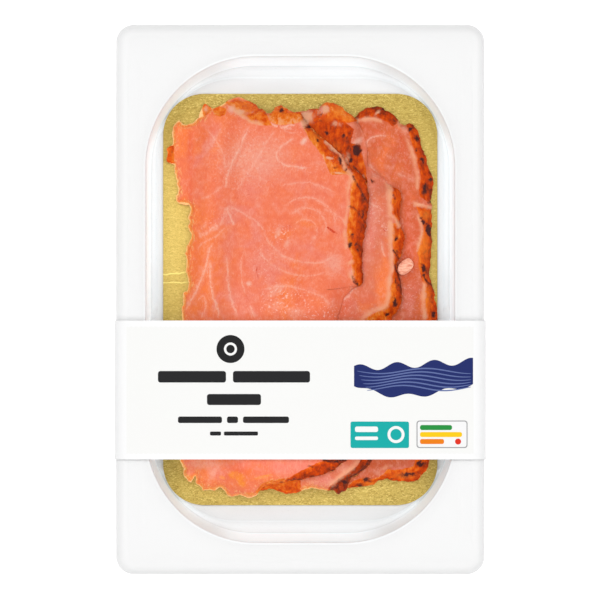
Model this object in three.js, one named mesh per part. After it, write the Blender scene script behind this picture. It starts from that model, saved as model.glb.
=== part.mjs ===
// A shut retail pack of roasted salmon: three thick slices lie fanned on a gold board
// in a thermoformed tray, a clear lid film is sealed on the tray's flange, and a card
// sleeve goes once round the pack.
// Millimetres, +Z up. The pack lies on its back with its long side along Y, and the
// origin is under its middle, on the surface that it rests on.

import * as THREE from 'three';

// ---------------------------------------------------------------- driving dimensions

const gap = 0.3;                     // clear space between pieces that lie on each other

const trayLength = 200;
const trayWidth = 134;
const trayCorner = 6.5;              // corner radius of the outline, seen from above
const flangeTop = 15;                // height of the sealing face
const flangeEdgeRadius = 4;          // the flange rolls over into its skirt
const skirtBottom = 8;
const wall = 0.7;
const footHeight = 0.7;              // the foot bead stands this far below the base
const beadGapRoom = 5.5;             // the foot bead's gap starts this far beside the sleeve
const beadRunIn = 3;                 // the bead rises to its full height over this length

const recessWidth = 112;             // at the rim
const recessLength = 176.5;
const recessCorner = 40;
const rimRoll = 1;                   // radius of the rim's edge
const wallFootWidth = 109.2;         // where the recess wall meets the foot groove
const wallFootLength = 170.6;
const wallFootCorner = 35.3;
const floorWidth = 103.6;            // the raised flat floor inside the groove
const floorLength = 160.7;
const floorCorner = 24.5;
const grooveInnerSlope = 0.8;        // run of the foot groove's inner side, across the pack
const grooveEndSlope = 1.04;         // the same along it
const grooveCornerGrowth = 2;
const grooveOuterSlope = 0.4;        // run of its outer side
const wallFootRise = 0.2;            // the wall starts this far above the floor
const underRimRun = 0.3;             // the sheet's turn below the rim
const underRimDrop = 0.5;
const beadOuterRun = 0.1;            // the bead's underside, from the wall's foot
const beadInnerRun = [0.2, 0.4, 0.6];   // and from the floor: across, along, at the corner
const baseInset = [-0.5, -0.5, -0.4];   // where the base's underside starts, measured the same way
const underWallDrop = 0.3;           // the wall's outer face ends this far below the floor

const cornerSteps = 10;              // flat steps round a tray corner
const rollSteps = 4;                 // flat steps over a rolled edge

const filmThickness = 0.3;
const filmInset = 4.4;               // from the tray's outline to the film's edge
const filmCorner = 2.4;

const boardWidth = 100;
const boardLength = 150;
const boardCorner = 15;
const boardThickness = 0.5;

const sleeveLength = 50.5;           // along the pack
const sleeveMiddle = -32.9;          // Y of the sleeve's middle
const sleeveThickness = 0.35;
const sleeveFoot = 56;               // half width of the sleeve's flat underside
const sleeveShoulder = 7.6;          // height where the sleeve turns in under the skirt
const sleeveSideRoom = 0.25;         // between the skirt and the sleeve

const sliceThickness = 3.6;
const sliceGap = 0.4;
const crustSlope = 7;                // width of the sloping roasted side
const crustBluntness = 0.22;         // share of the thickness that is left at the edge
const cutSlope = 2.2;                // width of the rounding on the plain cut side
const cutBluntness = 0.4;
const reliefDepth = 0.3;

const flakeLength = 6.8;
const flakeWidth = 4.2;
const flakeHeight = 2.2;
const flakeWaist = 0.5;              // how much the flake narrows towards its ends
const flakePlace = [39.4, 12.5];
const flakeTurn = 42;

// ---------------------------------------------------------------- materials

const finish = (color, roughness, metalness = 0, more = {}) =>
  new THREE.MeshStandardMaterial({ color, roughness, metalness, ...more });

const trayPlastic = finish(0xf6f6f5, 0.35);
const clearFilm = finish(0xffffff, 0.1, 0, { transparent: true, opacity: 0.12 });
const goldBoard = finish(0xd2b45c, 0.42, 0.6);
const roastedSalmon = finish(0xee8a6c, 0.4);
const paleSalmon = finish(0xe4a184, 0.5);
const sleeveCard = finish(0xf8f8f6, 0.6);

// ---------------------------------------------------------------- heights

const baseUnderside = footHeight;
const floorTop = baseUnderside + wall;
const boardBottom = floorTop + gap;
const boardTop = boardBottom + boardThickness;
const filmBottom = flangeTop + gap;
const filmTop = filmBottom + filmThickness;
const sleeveInnerTop = filmTop + gap;
const sliceBed = boardTop + gap;
const sliceStep = sliceThickness + sliceGap;   // how far one slice lifts the next

// ---------------------------------------------------------------- tray

// The tray's edges are rings of one and the same number of points, rounded rectangles
// that the sheet passes through from the floor out to the skirt and back underneath.
// Each long side has four more points, at the ends of the gap in the foot bead where
// the sleeve passes below the base.

const beadGapEnd = sleeveMiddle + sleeveLength / 2 + beadGapRoom;
const beadGapStart = sleeveMiddle - sleeveLength / 2 - beadGapRoom;
const sidePoints = [beadGapEnd, beadGapEnd + beadRunIn];

function ring(halfWidth, halfLength, radius, height) {
  const points = [];
  const corner = (x, y, startAngle) => {
    for (let step = 0; step <= cornerSteps; step++) {
      const angle = startAngle + (step / cornerSteps) * Math.PI / 2;
      points.push(new THREE.Vector3(x + radius * Math.cos(angle), y + radius * Math.sin(angle), height));
    }
  };
  const cx = halfWidth - radius;
  const cy = halfLength - radius;
  corner(cx, cy, 0);
  corner(-cx, cy, Math.PI / 2);
  for (const y of [...sidePoints].reverse()) points.push(new THREE.Vector3(-halfWidth, y, height));
  corner(-cx, -cy, Math.PI);
  corner(cx, -cy, 1.5 * Math.PI);
  for (const y of sidePoints) points.push(new THREE.Vector3(halfWidth, y, height));
  return points;
}

// A bead ring that is lifted to the base's level wherever the sleeve passes.
function beadRing(halfWidth, halfLength, radius, height) {
  const points = ring(halfWidth, halfLength, radius, height);
  for (const point of points) {
    if (point.y > beadGapStart && point.y <= beadGapEnd) point.z += footHeight;
  }
  return points;
}

// Joins rings into one skin. The first ring is closed by a face that looks up, the last
// one by a face that looks down.
function skin(rings) {
  const count = rings[0].length;
  const vertices = rings.flat();
  const triangles = [];
  for (let i = 0; i + 1 < rings.length; i++) {
    for (let j = 0; j < count; j++) {
      const next = (j + 1) % count;
      const a = i * count + j;
      const b = i * count + next;
      const c = a + count;
      const d = b + count;
      triangles.push(a, c, b, b, c, d);
    }
  }
  const last = (rings.length - 1) * count;
  const topCentre = vertices.length;
  vertices.push(new THREE.Vector3(0, 0, rings[0][0].z));
  const bottomCentre = vertices.length;
  vertices.push(new THREE.Vector3(0, 0, rings.at(-1)[0].z));
  for (let j = 0; j < count; j++) {
    const next = (j + 1) % count;
    triangles.push(topCentre, j, next);
    triangles.push(bottomCentre, last + next, last + j);
  }
  const geometry = new THREE.BufferGeometry().setFromPoints(vertices);
  geometry.setIndex(triangles);
  geometry.computeVertexNormals();
  return geometry;
}

// A quarter turn over an edge. centre is where the arc's middle lies, as half sizes and
// a height; the arc goes from fromAngle to toAngle, where 0 is outwards and 90 is up.
function rolledEdge(centre, arcRadius, fromAngle, toAngle) {
  const rings = [];
  for (let step = 0; step <= rollSteps; step++) {
    const angle = THREE.MathUtils.degToRad(THREE.MathUtils.lerp(fromAngle, toAngle, step / rollSteps));
    const out = arcRadius * Math.cos(angle);
    rings.push(ring(centre.halfWidth + out, centre.halfLength + out, centre.corner + out,
      centre.height + arcRadius * Math.sin(angle)));
  }
  return rings;
}

function makeTray() {
  const edge = {
    halfWidth: trayWidth / 2 - flangeEdgeRadius,
    halfLength: trayLength / 2 - flangeEdgeRadius,
    corner: trayCorner - flangeEdgeRadius,
    height: flangeTop - flangeEdgeRadius,
  };
  const rim = {
    halfWidth: recessWidth / 2 + rimRoll,
    halfLength: recessLength / 2 + rimRoll,
    corner: recessCorner + rimRoll,
    height: flangeTop - rimRoll,
  };
  const underRim = [rim.halfWidth, rim.halfLength, rim.corner];
  const floor = [floorWidth / 2, floorLength / 2, floorCorner];
  const foot = [wallFootWidth / 2, wallFootLength / 2, wallFootCorner];
  const grown = ([halfWidth, halfLength, corner], [across, along, round]) =>
    [halfWidth + across, halfLength + along, corner + round];
  const all = (run) => [run, run, run];

  const top = [
    ring(...floor, floorTop),
    beadRing(...grown(floor, [grooveInnerSlope, grooveEndSlope, grooveCornerGrowth]), floorTop - footHeight),
    beadRing(...grown(foot, all(-grooveOuterSlope)), floorTop - footHeight),
    ring(...foot, floorTop + wallFootRise),
    ...rolledEdge(rim, -rimRoll, 0, -90),
  ];
  const outside = [
    ...rolledEdge(edge, flangeEdgeRadius, 90, 0),
    ring(trayWidth / 2, trayLength / 2, trayCorner, skirtBottom),
  ];
  const under = [
    ring(trayWidth / 2 - wall, trayLength / 2 - wall, trayCorner - wall, skirtBottom),
    ...rolledEdge(edge, flangeEdgeRadius - wall, 0, 90),
    ring(...underRim, flangeTop - wall),
    ring(...grown(underRim, all(-underRimRun)), flangeTop - wall - underRimDrop),
    ring(...grown(foot, all(wall)), floorTop - underWallDrop),
    beadRing(...grown(foot, all(beadOuterRun)), 0),
    beadRing(...grown(floor, beadInnerRun), 0),
    ring(...grown(floor, baseInset), baseUnderside),
  ];
  return skin([...top, ...outside, ...under]);
}

// ---------------------------------------------------------------- flat sheets

function roundedRectangle(width, length, radius) {
  const x = width / 2;
  const y = length / 2;
  const shape = new THREE.Shape();
  shape.moveTo(x, -y + radius);
  shape.absarc(x - radius, y - radius, radius, 0, Math.PI / 2);
  shape.absarc(-x + radius, y - radius, radius, Math.PI / 2, Math.PI);
  shape.absarc(-x + radius, -y + radius, radius, Math.PI, 1.5 * Math.PI);
  shape.absarc(x - radius, -y + radius, radius, 1.5 * Math.PI, 2 * Math.PI);
  return shape;
}

function sheet(width, length, radius, thickness) {
  return new THREE.ExtrudeGeometry(roundedRectangle(width, length, radius),
    { depth: thickness, bevelEnabled: false, curveSegments: 8 });
}

// ---------------------------------------------------------------- sleeve

// The band's section across the pack: flat over the film, round the flange's edge, down
// past the skirt, slanting in below it and flat under the base. offset moves the whole
// line outwards, so that 0 is the inner face.
function sleeveLine(offset, line) {
  const side = trayWidth / 2 + sleeveSideRoom;
  const arcX = trayWidth / 2 - filmInset;
  const arcZ = flangeTop - flangeEdgeRadius;
  const footZ = sleeveThickness;
  const slant = Math.atan2(sleeveShoulder - footZ, side - sleeveFoot);
  const footX = sleeveFoot + offset * Math.tan(slant / 2);
  const shoulderZ = sleeveShoulder - offset * Math.tan((Math.PI / 2 - slant) / 2);
  line.moveTo(-footX, footZ - offset);
  line.lineTo(footX, footZ - offset);
  line.lineTo(side + offset, shoulderZ);
  line.absellipse(arcX, arcZ, side - arcX + offset, sleeveInnerTop - arcZ + offset, 0, Math.PI / 2);
  line.absellipse(-arcX, arcZ, side - arcX + offset, sleeveInnerTop - arcZ + offset, Math.PI / 2, Math.PI);
  line.lineTo(-side - offset, shoulderZ);
  return line;
}

function makeSleeve() {
  const section = sleeveLine(sleeveThickness, new THREE.Shape());
  section.holes.push(sleeveLine(0, new THREE.Path()));
  return new THREE.ExtrudeGeometry(section, { depth: sleeveLength, bevelEnabled: false, curveSegments: 7 });
}

// ---------------------------------------------------------------- salmon

// Each slice has four border lines, given by points in plan. A side that lies hidden
// under the slice above it has only the points that bend it. hang is the length over
// which the slices above come down to the board beyond this slice's edge. grid is how
// many faces it has across and along, and how far they crowd towards its right side.

const topSlice = {
  grid: [22, 42, 1],
  left: [[-43.7, -58.4], [-43.4, -16.5], [-43, 1.3], [-40.8, 6], [-41.5, 17.3], [-39.7, 23.8],
    [-41.2, 32.2], [-44.5, 34.4], [-45.9, 48.5], [-48.1, 50.4], [-48.5, 54.4], [-46.3, 62.7]],
  far: [[-46.3, 62.7], [-44.1, 65.6], [-40.1, 64.2], [-35.4, 67.5], [-34.6, 71.1], [-30.6, 70],
    [-25.2, 73.3], [-19.7, 72.9], [-13.5, 68.9], [-7, 70.7], [-3, 68.5], [1, 66]],
  right: [[17.7, -57.6], [18.1, -51.1], [16.3, -36.5], [14.1, -22], [13.4, -8.2], [14.5, -2.7],
    [21, 4.5], [22.8, 7.5], [22.8, 19.8], [25, 34.4], [23.2, 44.5], [14.8, 52.5], [6.5, 59.8], [1, 66]],
  near: [[-43.7, -58.4], [-40.1, -66.7], [-38.6, -64.9], [-35.7, -69.6], [-28.8, -68.9], [-24.5, -71.8],
    [-15.7, -71.5], [-13.5, -68.5], [-7, -67.8], [1.7, -64.2], [13.7, -60.5], [17.7, -57.6]],
};

const middleSlice = {
  hang: 9,
  grid: [16, 38, 1.3],
  left: [[-32.1, -62], [-34.6, -0.2], [-31, 65.3]],
  far: [[-31, 65.3], [-0.1, 67.8], [6.5, 69.6], [11.2, 72.2], [16.6, 68.9], [20.6, 65.3]],
  right: [[17.4, -68.2], [18.8, -64.9], [25.7, -59.8], [28.3, -51.1], [33, -8.2], [37.4, 3.5],
    [35.9, 11.5], [37.4, 24], [35.9, 28.5], [36.3, 39.8], [32.3, 42.7], [24.3, 49.6], [24.3, 54.4],
    [20.6, 65.3]],
  near: [[-32.1, -62], [-16.5, -67.4], [-10.3, -68.9], [-5.5, -71.1], [3.9, -68.9], [14.1, -70.7],
    [17.4, -68.2]],
};

const bottomSlice = {
  hang: 12,
  grid: [15, 36, 1.35],
  left: [[-18.3, -60.2], [-21.9, -0.2], [-18.3, 62.4]],
  far: [[-18.3, 62.4], [16.3, 64.9], [20.6, 66.4], [22.5, 68.9], [26.8, 70.4], [33.4, 67.8],
    [36.3, 64.9], [40.6, 63.8]],
  right: [[44.3, -64.5], [47.2, -58.7], [50.1, -22], [50.1, -6.7], [47.2, 10.4], [47.9, 23.5],
    [47.5, 31.1], [48.3, 44.2], [43.9, 58], [40.6, 63.8]],
  near: [[-18.3, -60.2], [14.5, -66.4], [18.8, -68.5], [27.2, -67.1], [29, -65.6], [38.5, -66.4],
    [44.3, -64.5]],
};

const bordersOf = (slice) => Object.fromEntries(['left', 'far', 'right', 'near'].map((side) => [side,
  new THREE.CatmullRomCurve3(slice[side].map(([x, y]) => new THREE.Vector3(x, y, 0)), false, 'centripetal')]));

// The point at (u, v) of the patch that the four borders span: u from the left border to
// the right one, v from the near border to the far one.
function patchPoint(borders, u, v) {
  const left = borders.left.getPointAt(v);
  const right = borders.right.getPointAt(v);
  const near = borders.near.getPointAt(u);
  const far = borders.far.getPointAt(u);
  const across = left.clone().lerp(right, u);
  const along = near.clone().lerp(far, v);
  const corners = borders.near.getPoint(0).lerp(borders.near.getPoint(1), u)
    .lerp(borders.far.getPoint(0).lerp(borders.far.getPoint(1), u), v);
  return across.add(along).sub(corners);
}

// Distances to a slice's border, in plan: to the roasted sides, to the cut side and,
// signed, to the nearest of them all, with plus inside.
const borderSamples = 90;

function sampleBorders(borders) {
  const points = Object.fromEntries(Object.entries(borders).map(
    ([side, curve]) => [side, curve.getSpacedPoints(borderSamples)]));
  const outline = [...points.near, ...points.right, ...[...points.far].reverse(), ...[...points.left].reverse()];
  return { roasted: [points.far, points.right, points.near], cut: [points.left], outline };
}

function distanceToLine(x, y, line) {
  let nearest = Infinity;
  for (let i = 0; i + 1 < line.length; i++) {
    const dx = line[i + 1].x - line[i].x;
    const dy = line[i + 1].y - line[i].y;
    const span = dx * dx + dy * dy;
    const along = span > 0 ? ((x - line[i].x) * dx + (y - line[i].y) * dy) / span : 0;
    const t = THREE.MathUtils.clamp(along, 0, 1);
    nearest = Math.min(nearest, Math.hypot(x - line[i].x - t * dx, y - line[i].y - t * dy));
  }
  return nearest;
}

function isInside(x, y, outline) {
  let inside = false;
  for (let i = 0, j = outline.length - 1; i < outline.length; j = i++) {
    const crosses = (outline[i].y > y) !== (outline[j].y > y);
    if (crosses && x < (outline[j].x - outline[i].x) * (y - outline[i].y) / (outline[j].y - outline[i].y) + outline[i].x) {
      inside = !inside;
    }
  }
  return inside;
}

const signedDistance = (x, y, outline) =>
  distanceToLine(x, y, outline) * (isInside(x, y, outline) ? 1 : -1);

// The slice's face is dented, never raised, so that the slice above keeps clear of it.
function relief(x, y) {
  const broad = Math.sin(0.16 * x + 0.11 * y + 0.8) * Math.sin(0.09 * y - 0.05 * x + 2.1);
  const flakes = Math.sin(0.55 * x - 0.21 * y + 1.7) * Math.sin(0.31 * y + 0.17 * x);
  return -reliefDepth * (0.5 + 0.3 * broad + 0.2 * flakes);
}

// How far a slice has been lifted by one that lies below it: fully on top of it, and
// then hanging down to the board beyond its edge.
function liftOver(lower, x, y) {
  const reach = lower.hang;
  const inside = signedDistance(x, y, lower.samples.outline);
  return sliceStep * THREE.MathUtils.smoothstep(inside, -reach, 0);
}

const edgeRounding = (distance, width, bluntness) =>
  bluntness + (1 - bluntness) * Math.sin(Math.PI / 2 * THREE.MathUtils.clamp(distance / width, 0, 1));

function thicknessAt(samples, x, y) {
  const toCrust = Math.min(...samples.roasted.map((line) => distanceToLine(x, y, line)));
  const toCut = distanceToLine(x, y, samples.cut[0]);
  return sliceThickness * Math.min(edgeRounding(toCrust, crustSlope, crustBluntness),
    edgeRounding(toCut, cutSlope, cutBluntness));
}

// A slice is a box of many faces, pulled to the four borders, laid over what is below it
// and given its thickness.
function makeSlice(slice, lowerSlices) {
  const [columns, rows, crowding] = slice.grid;
  const geometry = new THREE.BoxGeometry(1, 1, 1, columns, rows, 1);
  const position = geometry.attributes.position;
  const borders = slice.borders;
  for (let i = 0; i < position.count; i++) {
    const u = position.getX(i) + 0.5;
    const v = position.getY(i) + 0.5;
    const isTop = position.getZ(i) > 0;
    const crowded = 1 - Math.pow(1 - u, crowding);
    const point = patchPoint(borders, crowded, v);
    let z = sliceBed;
    for (const lower of lowerSlices) z += liftOver(lower, point.x, point.y);
    if (isTop) {
      const thickness = thicknessAt(slice.samples, point.x, point.y);
      z += thickness + relief(point.x, point.y) * (thickness / sliceThickness);
    }
    position.setXYZ(i, point.x, point.y, z);
  }
  geometry.computeVertexNormals();
  return geometry;
}

for (const slice of [topSlice, middleSlice, bottomSlice]) {
  slice.borders = bordersOf(slice);
  slice.samples = sampleBorders(slice.borders);
}

// ---------------------------------------------------------------- loose flake

function makeFlake() {
  const geometry = new THREE.SphereGeometry(0.5, 16, 10);
  geometry.rotateX(Math.PI / 2);
  const position = geometry.attributes.position;
  for (let i = 0; i < position.count; i++) {
    const x = position.getX(i);
    const y = position.getY(i);
    const waist = 1 - flakeWaist * x * x;
    position.setXYZ(i, x * flakeLength, y * flakeWidth * waist, position.getZ(i) * flakeHeight);
  }
  geometry.computeVertexNormals();
  return geometry;
}

// ---------------------------------------------------------------- the pack

const pack = new THREE.Group();

function add(name, geometry, material) {
  const mesh = new THREE.Mesh(geometry, material);
  mesh.name = name;
  pack.add(mesh);
  return mesh;
}

add('tray', makeTray(), trayPlastic);

const filmWidth = trayWidth - 2 * filmInset;
const filmLength = trayLength - 2 * filmInset;
add('film', sheet(filmWidth, filmLength, filmCorner, filmThickness), clearFilm).position.z = filmBottom;

add('card', sheet(boardWidth, boardLength, boardCorner, boardThickness), goldBoard).position.z = boardBottom;

add('slice_bottom', makeSlice(bottomSlice, []), roastedSalmon);
add('slice_middle', makeSlice(middleSlice, [bottomSlice]), roastedSalmon);
add('slice_top', makeSlice(topSlice, [bottomSlice, middleSlice]), roastedSalmon);

const flake = add('loose_flake', makeFlake(), paleSalmon);
flake.position.set(...flakePlace, sliceBed + sliceThickness + gap + flakeHeight / 2);
flake.rotation.z = THREE.MathUtils.degToRad(flakeTurn);

const sleeve = add('sleeve', makeSleeve(), sleeveCard);
sleeve.rotation.x = Math.PI / 2;
sleeve.position.y = sleeveMiddle + sleeveLength / 2;

export default pack;
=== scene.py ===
# %% [markdown]
# # A pack of roasted salmon, seen from above
# A shut white tray holds three thick slices of roasted salmon on a gold board. A clear film is
# sealed on its flange and a printed card sleeve goes once round it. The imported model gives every
# piece's place and size. This lesson makes the surfaces that the camera sees, piece by piece.

# %% The frame
import math

import bmesh
import bpy
import numpy as np
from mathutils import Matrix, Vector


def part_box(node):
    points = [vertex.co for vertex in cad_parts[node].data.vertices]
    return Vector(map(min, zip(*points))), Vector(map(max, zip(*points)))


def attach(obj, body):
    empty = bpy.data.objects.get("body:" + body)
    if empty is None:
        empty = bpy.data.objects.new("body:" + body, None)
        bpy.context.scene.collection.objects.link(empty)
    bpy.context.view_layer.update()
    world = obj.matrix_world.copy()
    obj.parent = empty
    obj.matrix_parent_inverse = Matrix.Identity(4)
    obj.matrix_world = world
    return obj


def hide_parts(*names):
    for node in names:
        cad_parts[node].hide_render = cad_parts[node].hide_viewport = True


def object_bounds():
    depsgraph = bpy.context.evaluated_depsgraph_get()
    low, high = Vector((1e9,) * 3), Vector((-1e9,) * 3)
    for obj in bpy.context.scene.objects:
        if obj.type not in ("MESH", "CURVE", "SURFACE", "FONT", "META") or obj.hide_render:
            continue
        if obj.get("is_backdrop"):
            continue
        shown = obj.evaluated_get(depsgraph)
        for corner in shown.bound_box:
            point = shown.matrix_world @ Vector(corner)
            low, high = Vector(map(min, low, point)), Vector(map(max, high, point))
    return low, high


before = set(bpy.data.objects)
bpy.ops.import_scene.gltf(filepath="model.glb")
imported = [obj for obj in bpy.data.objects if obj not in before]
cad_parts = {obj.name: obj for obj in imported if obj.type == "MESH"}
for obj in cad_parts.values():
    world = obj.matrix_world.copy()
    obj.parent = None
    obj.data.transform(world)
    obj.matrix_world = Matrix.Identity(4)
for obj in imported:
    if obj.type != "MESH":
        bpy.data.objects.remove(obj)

cad_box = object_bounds()
MM = 0.001
BODY = "root"
print("nodes:", ", ".join(sorted(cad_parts)))

# %% [markdown]
# ## From the photograph to the pack
# The photograph looks straight down on a pack whose outline is 550 pixels long, and the frame says
# how long that is in millimetres. So a place that was read off the photograph is turned into
# millimetres in one step, and the same ratio later sets the camera. Lists of such places are named
# in capitals and hold pixels. Everything else is in millimetres until a mesh is written, in metres.

# %% Places in the photograph
TRAY_LENGTH_PX = 550
PACK_MIDDLE_PX = (300.25, 299.5)
PHOTO_SIDE_PX = 600


def span(node):
    """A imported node's lowest and highest corner, in millimetres."""
    low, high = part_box(node)
    return low / MM, high / MM


tray_low, tray_high = span("tray")
pixel = (tray_high.y - tray_low.y) / TRAY_LENGTH_PX


def plan(places):
    """Places in the photograph, as an array of x and y in millimetres."""
    return (np.array(places, float)[..., :2] - PACK_MIDDLE_PX) * (pixel, -pixel)


print(f"one pixel is {pixel:.4f} mm")

# %% [markdown]
# ## Working as by hand
# Operators act on whatever is selected, so every step starts by selecting nothing. Faces and edges
# are then picked by where they are or which way they look, which stays true when a size changes.

# %% Selecting and finishing pieces


def take(piece):
    """Makes a piece the only selected and the active object."""
    bpy.ops.object.select_all(action="DESELECT")
    piece.select_set(True)
    bpy.context.view_layer.objects.active = piece
    return piece


def edit(piece):
    """Opens a piece for editing with all of it selected."""
    take(piece)
    bpy.ops.object.mode_set(mode="EDIT")
    bpy.ops.mesh.select_all(action="SELECT")


def leave():
    bpy.ops.object.mode_set(mode="OBJECT")


def apply_size(piece):
    """Takes a piece's own shift, turn and scale into its mesh."""
    take(piece)
    bpy.ops.object.transform_apply(location=True, rotation=True, scale=True)


def pull_up(height):
    """Extrudes what is selected straight up, by a height in millimetres."""
    bpy.ops.mesh.extrude_region_move(TRANSFORM_OT_translate={"value": (0, 0, height * MM)})


def choose(piece, kind, test):
    """Selects the faces, edges or verts of a piece in edit mode for which the test is true."""
    bpy.ops.mesh.select_mode(type={"faces": "FACE", "edges": "EDGE", "verts": "VERT"}[kind])
    bpy.ops.mesh.select_all(action="DESELECT")
    mesh = bmesh.from_edit_mesh(piece.data)
    for part in getattr(mesh, kind):
        part.select_set(bool(test(part)))
    mesh.select_flush_mode()
    bmesh.update_edit_mesh(piece.data)


def face_outwards(piece):
    edit(piece)
    bpy.ops.mesh.normals_make_consistent(inside=False)
    leave()


def get_places(piece):
    """A piece's vertices as an array, in millimetres."""
    numbers = np.empty(len(piece.data.vertices) * 3)
    piece.data.vertices.foreach_get("co", numbers)
    return numbers.reshape(-1, 3) / MM


def set_places(piece, places):
    """Moves a piece's vertices to places in millimetres."""
    piece.data.vertices.foreach_set("co", (places * MM).ravel())


def set_attributes(piece, attributes):
    """Gives every vertex a number under each name, for the finish to read."""
    for name, values in attributes.items():
        layer = piece.data.attributes.new(name, "FLOAT", "POINT")
        layer.data.foreach_set("value", values.astype(np.float32))


def join(pieces):
    """Joins pieces into the first of them."""
    bpy.ops.object.select_all(action="DESELECT")
    for piece in pieces:
        piece.select_set(True)
    bpy.context.view_layer.objects.active = pieces[0]
    bpy.ops.object.join()
    return pieces[0]


def finish_piece(piece, name, material, stands_for=(), smooth_below=None):
    """Names a piece, dresses it and lets it ride on the pack."""
    apply_size(piece)
    if smooth_below is None:
        bpy.ops.object.shade_smooth()
    else:
        bpy.ops.object.shade_smooth_by_angle(angle=math.radians(smooth_below))
    piece.name = name
    piece.data.name = name
    piece.data.materials.clear()
    piece.data.materials.append(material)
    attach(piece, BODY)
    if stands_for:
        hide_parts(*stands_for)
    size = piece.dimensions / MM
    piece.data.calc_loop_triangles()
    triangles = len(piece.data.loop_triangles)
    print(f"{name}: {size.x:.1f} x {size.y:.1f} x {size.z:.2f} mm, {triangles} triangles")
    return piece


# %% [markdown]
# ## Finishes as expressions
# A finish is a small graph of nodes. Wrapping a socket in a class with overloaded operators lets
# the graph be written as plain arithmetic, and one method adds any other node. What varies over a
# surface reads the piece's own coordinates or its own attributes, so that it stays on the piece.

# %% A wrapped socket


class Value:
    """A shader socket that can stand in sums and products."""

    def __init__(self, graph, socket):
        self.graph = graph
        self.socket = socket

    def _math(self, operation, *values):
        return self.graph.node("ShaderNodeMath", {"operation": operation}, dict(enumerate(values)))

    def __add__(self, other):
        return self._math("ADD", self, other)

    __radd__ = __add__

    def __sub__(self, other):
        return self._math("SUBTRACT", self, other)

    def __rsub__(self, other):
        return self._math("SUBTRACT", other, self)

    def __mul__(self, other):
        return self._math("MULTIPLY", self, other)

    def __truediv__(self, other):
        return self._math("DIVIDE", self, other)

    def __abs__(self):
        return self._math("ABSOLUTE", self)

    def smaller(self, other):
        return self._math("MINIMUM", self, other)

    def larger(self, other):
        return self._math("MAXIMUM", self, other)

    def sine(self):
        return self._math("SINE", self)

    def rise(self, low, high):
        """Goes smoothly from 0 to 1 while the value goes from low to high."""
        return self.graph.node("ShaderNodeMapRange", {"interpolation_type": "SMOOTHSTEP"},
                               {"Value": self, "From Min": low, "From Max": high})


# %% A graph of nodes, and a finish made of one


def srgb(red, green, blue):
    """A colour of the photograph, from 0 to 255, as Blender's linear colour."""
    shares = [level / 255 for level in (red, green, blue)]
    return (*[s / 12.92 if s <= 0.04045 else ((s + 0.055) / 1.055) ** 2.4 for s in shares], 1)


# A white card on the pack looks this many times brighter than its own colour.
STUDIO_LIGHT = 1.35


def lit(red, green, blue):
    """The own colour of a surface that looks like this colour in the studio."""
    return (*[level / STUDIO_LIGHT for level in srgb(red, green, blue)[:3]], 1)


class Graph:
    """A node tree under construction."""

    def __init__(self, tree):
        self.tree = tree
        tree.nodes.clear()

    def node(self, kind, settings, inputs, output=0):
        """Adds a node of any type: its settings first, then values or links for its sockets."""
        node = self.tree.nodes.new(kind)
        for key, value in settings.items():
            if key == "stops":
                for _ in value[2:]:
                    node.color_ramp.elements.new(0.5)
                for element, (position, color) in zip(node.color_ramp.elements, value):
                    element.position = position
                    element.color = color
            else:
                setattr(node, key, value)
        for key, value in inputs.items():
            if isinstance(value, Value):
                self.tree.links.new(value.socket, node.inputs[key])
            else:
                node.inputs[key].default_value = value
        return Value(self, node.outputs[output]) if node.outputs else None

    def mix(self, first, second, share):
        """A colour that goes from first to second as share goes from 0 to 1."""
        return self.node("ShaderNodeMix", {"data_type": "RGBA"}, {0: share, 6: first, 7: second}, 2)

    def layers(self, color, *coats):
        """A colour with coats over it, each a colour and how much of it covers what lies below."""
        for coat_color, share in coats:
            color = self.mix(color, coat_color, share)
        return color


class Finish(Graph):
    """A material under construction."""

    def __init__(self, name):
        self.material = bpy.data.materials.new(name)
        self.material.use_nodes = True
        super().__init__(self.material.node_tree)
        self.place = self.node("ShaderNodeTexCoord", {}, {}, "Object")

    def attribute(self, name):
        return self.node("ShaderNodeAttribute", {"attribute_name": name}, {}, "Fac")

    def axis(self, letter):
        """One coordinate of the piece, in millimetres."""
        return self.node("ShaderNodeSeparateXYZ", {}, {"Vector": self.place}, letter) / MM

    def turned(self, degrees, stretch=(1, 1, 1)):
        """The piece's coordinates, turned about the vertical and stretched."""
        return self.node("ShaderNodeMapping", {}, {"Vector": self.place, "Scale": stretch,
                                                   "Rotation": (0, 0, math.radians(degrees))})

    def noise(self, size, detail=2, roughness=0.5, distortion=0, place=None):
        """Noise from 0 to 1 whose lumps are about size millimetres wide."""
        return self.node("ShaderNodeTexNoise", {}, {
            "Vector": place or self.place, "Scale": 1 / (size * MM), "Detail": detail,
            "Roughness": roughness, "Distortion": distortion})

    def ramp(self, value, stops):
        return self.node("ShaderNodeValToRGB", {"stops": stops}, {0: value})

    def bump(self, height, depth):
        """Normals of a relief that is depth millimetres deep where the height goes from 0 to 1."""
        return self.node("ShaderNodeBump", {}, {"Height": height, "Distance": depth * MM, "Strength": 1})

    def surface(self, **sockets):
        """Ends the finish in one Principled shader, whose sockets are named with underscores."""
        named = {key.replace("_", " "): value for key, value in sockets.items()}
        return self.end(self.node("ShaderNodeBsdfPrincipled", {}, named))

    def end(self, shader):
        self.node("ShaderNodeOutputMaterial", {}, {"Surface": shader})
        return self.material


# %% [markdown]
# ## The studio
# The pack lay on a white table under a wide soft light from above, and no shadow reached past its
# edge. A bright sky that fades towards the horizon gives that light: flat faces come out brightest
# and rounded edges a little darker. The table glows faintly, so that it stays white next to the
# pack. The camera has a very long lens, because the photograph shows no perspective.

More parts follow.
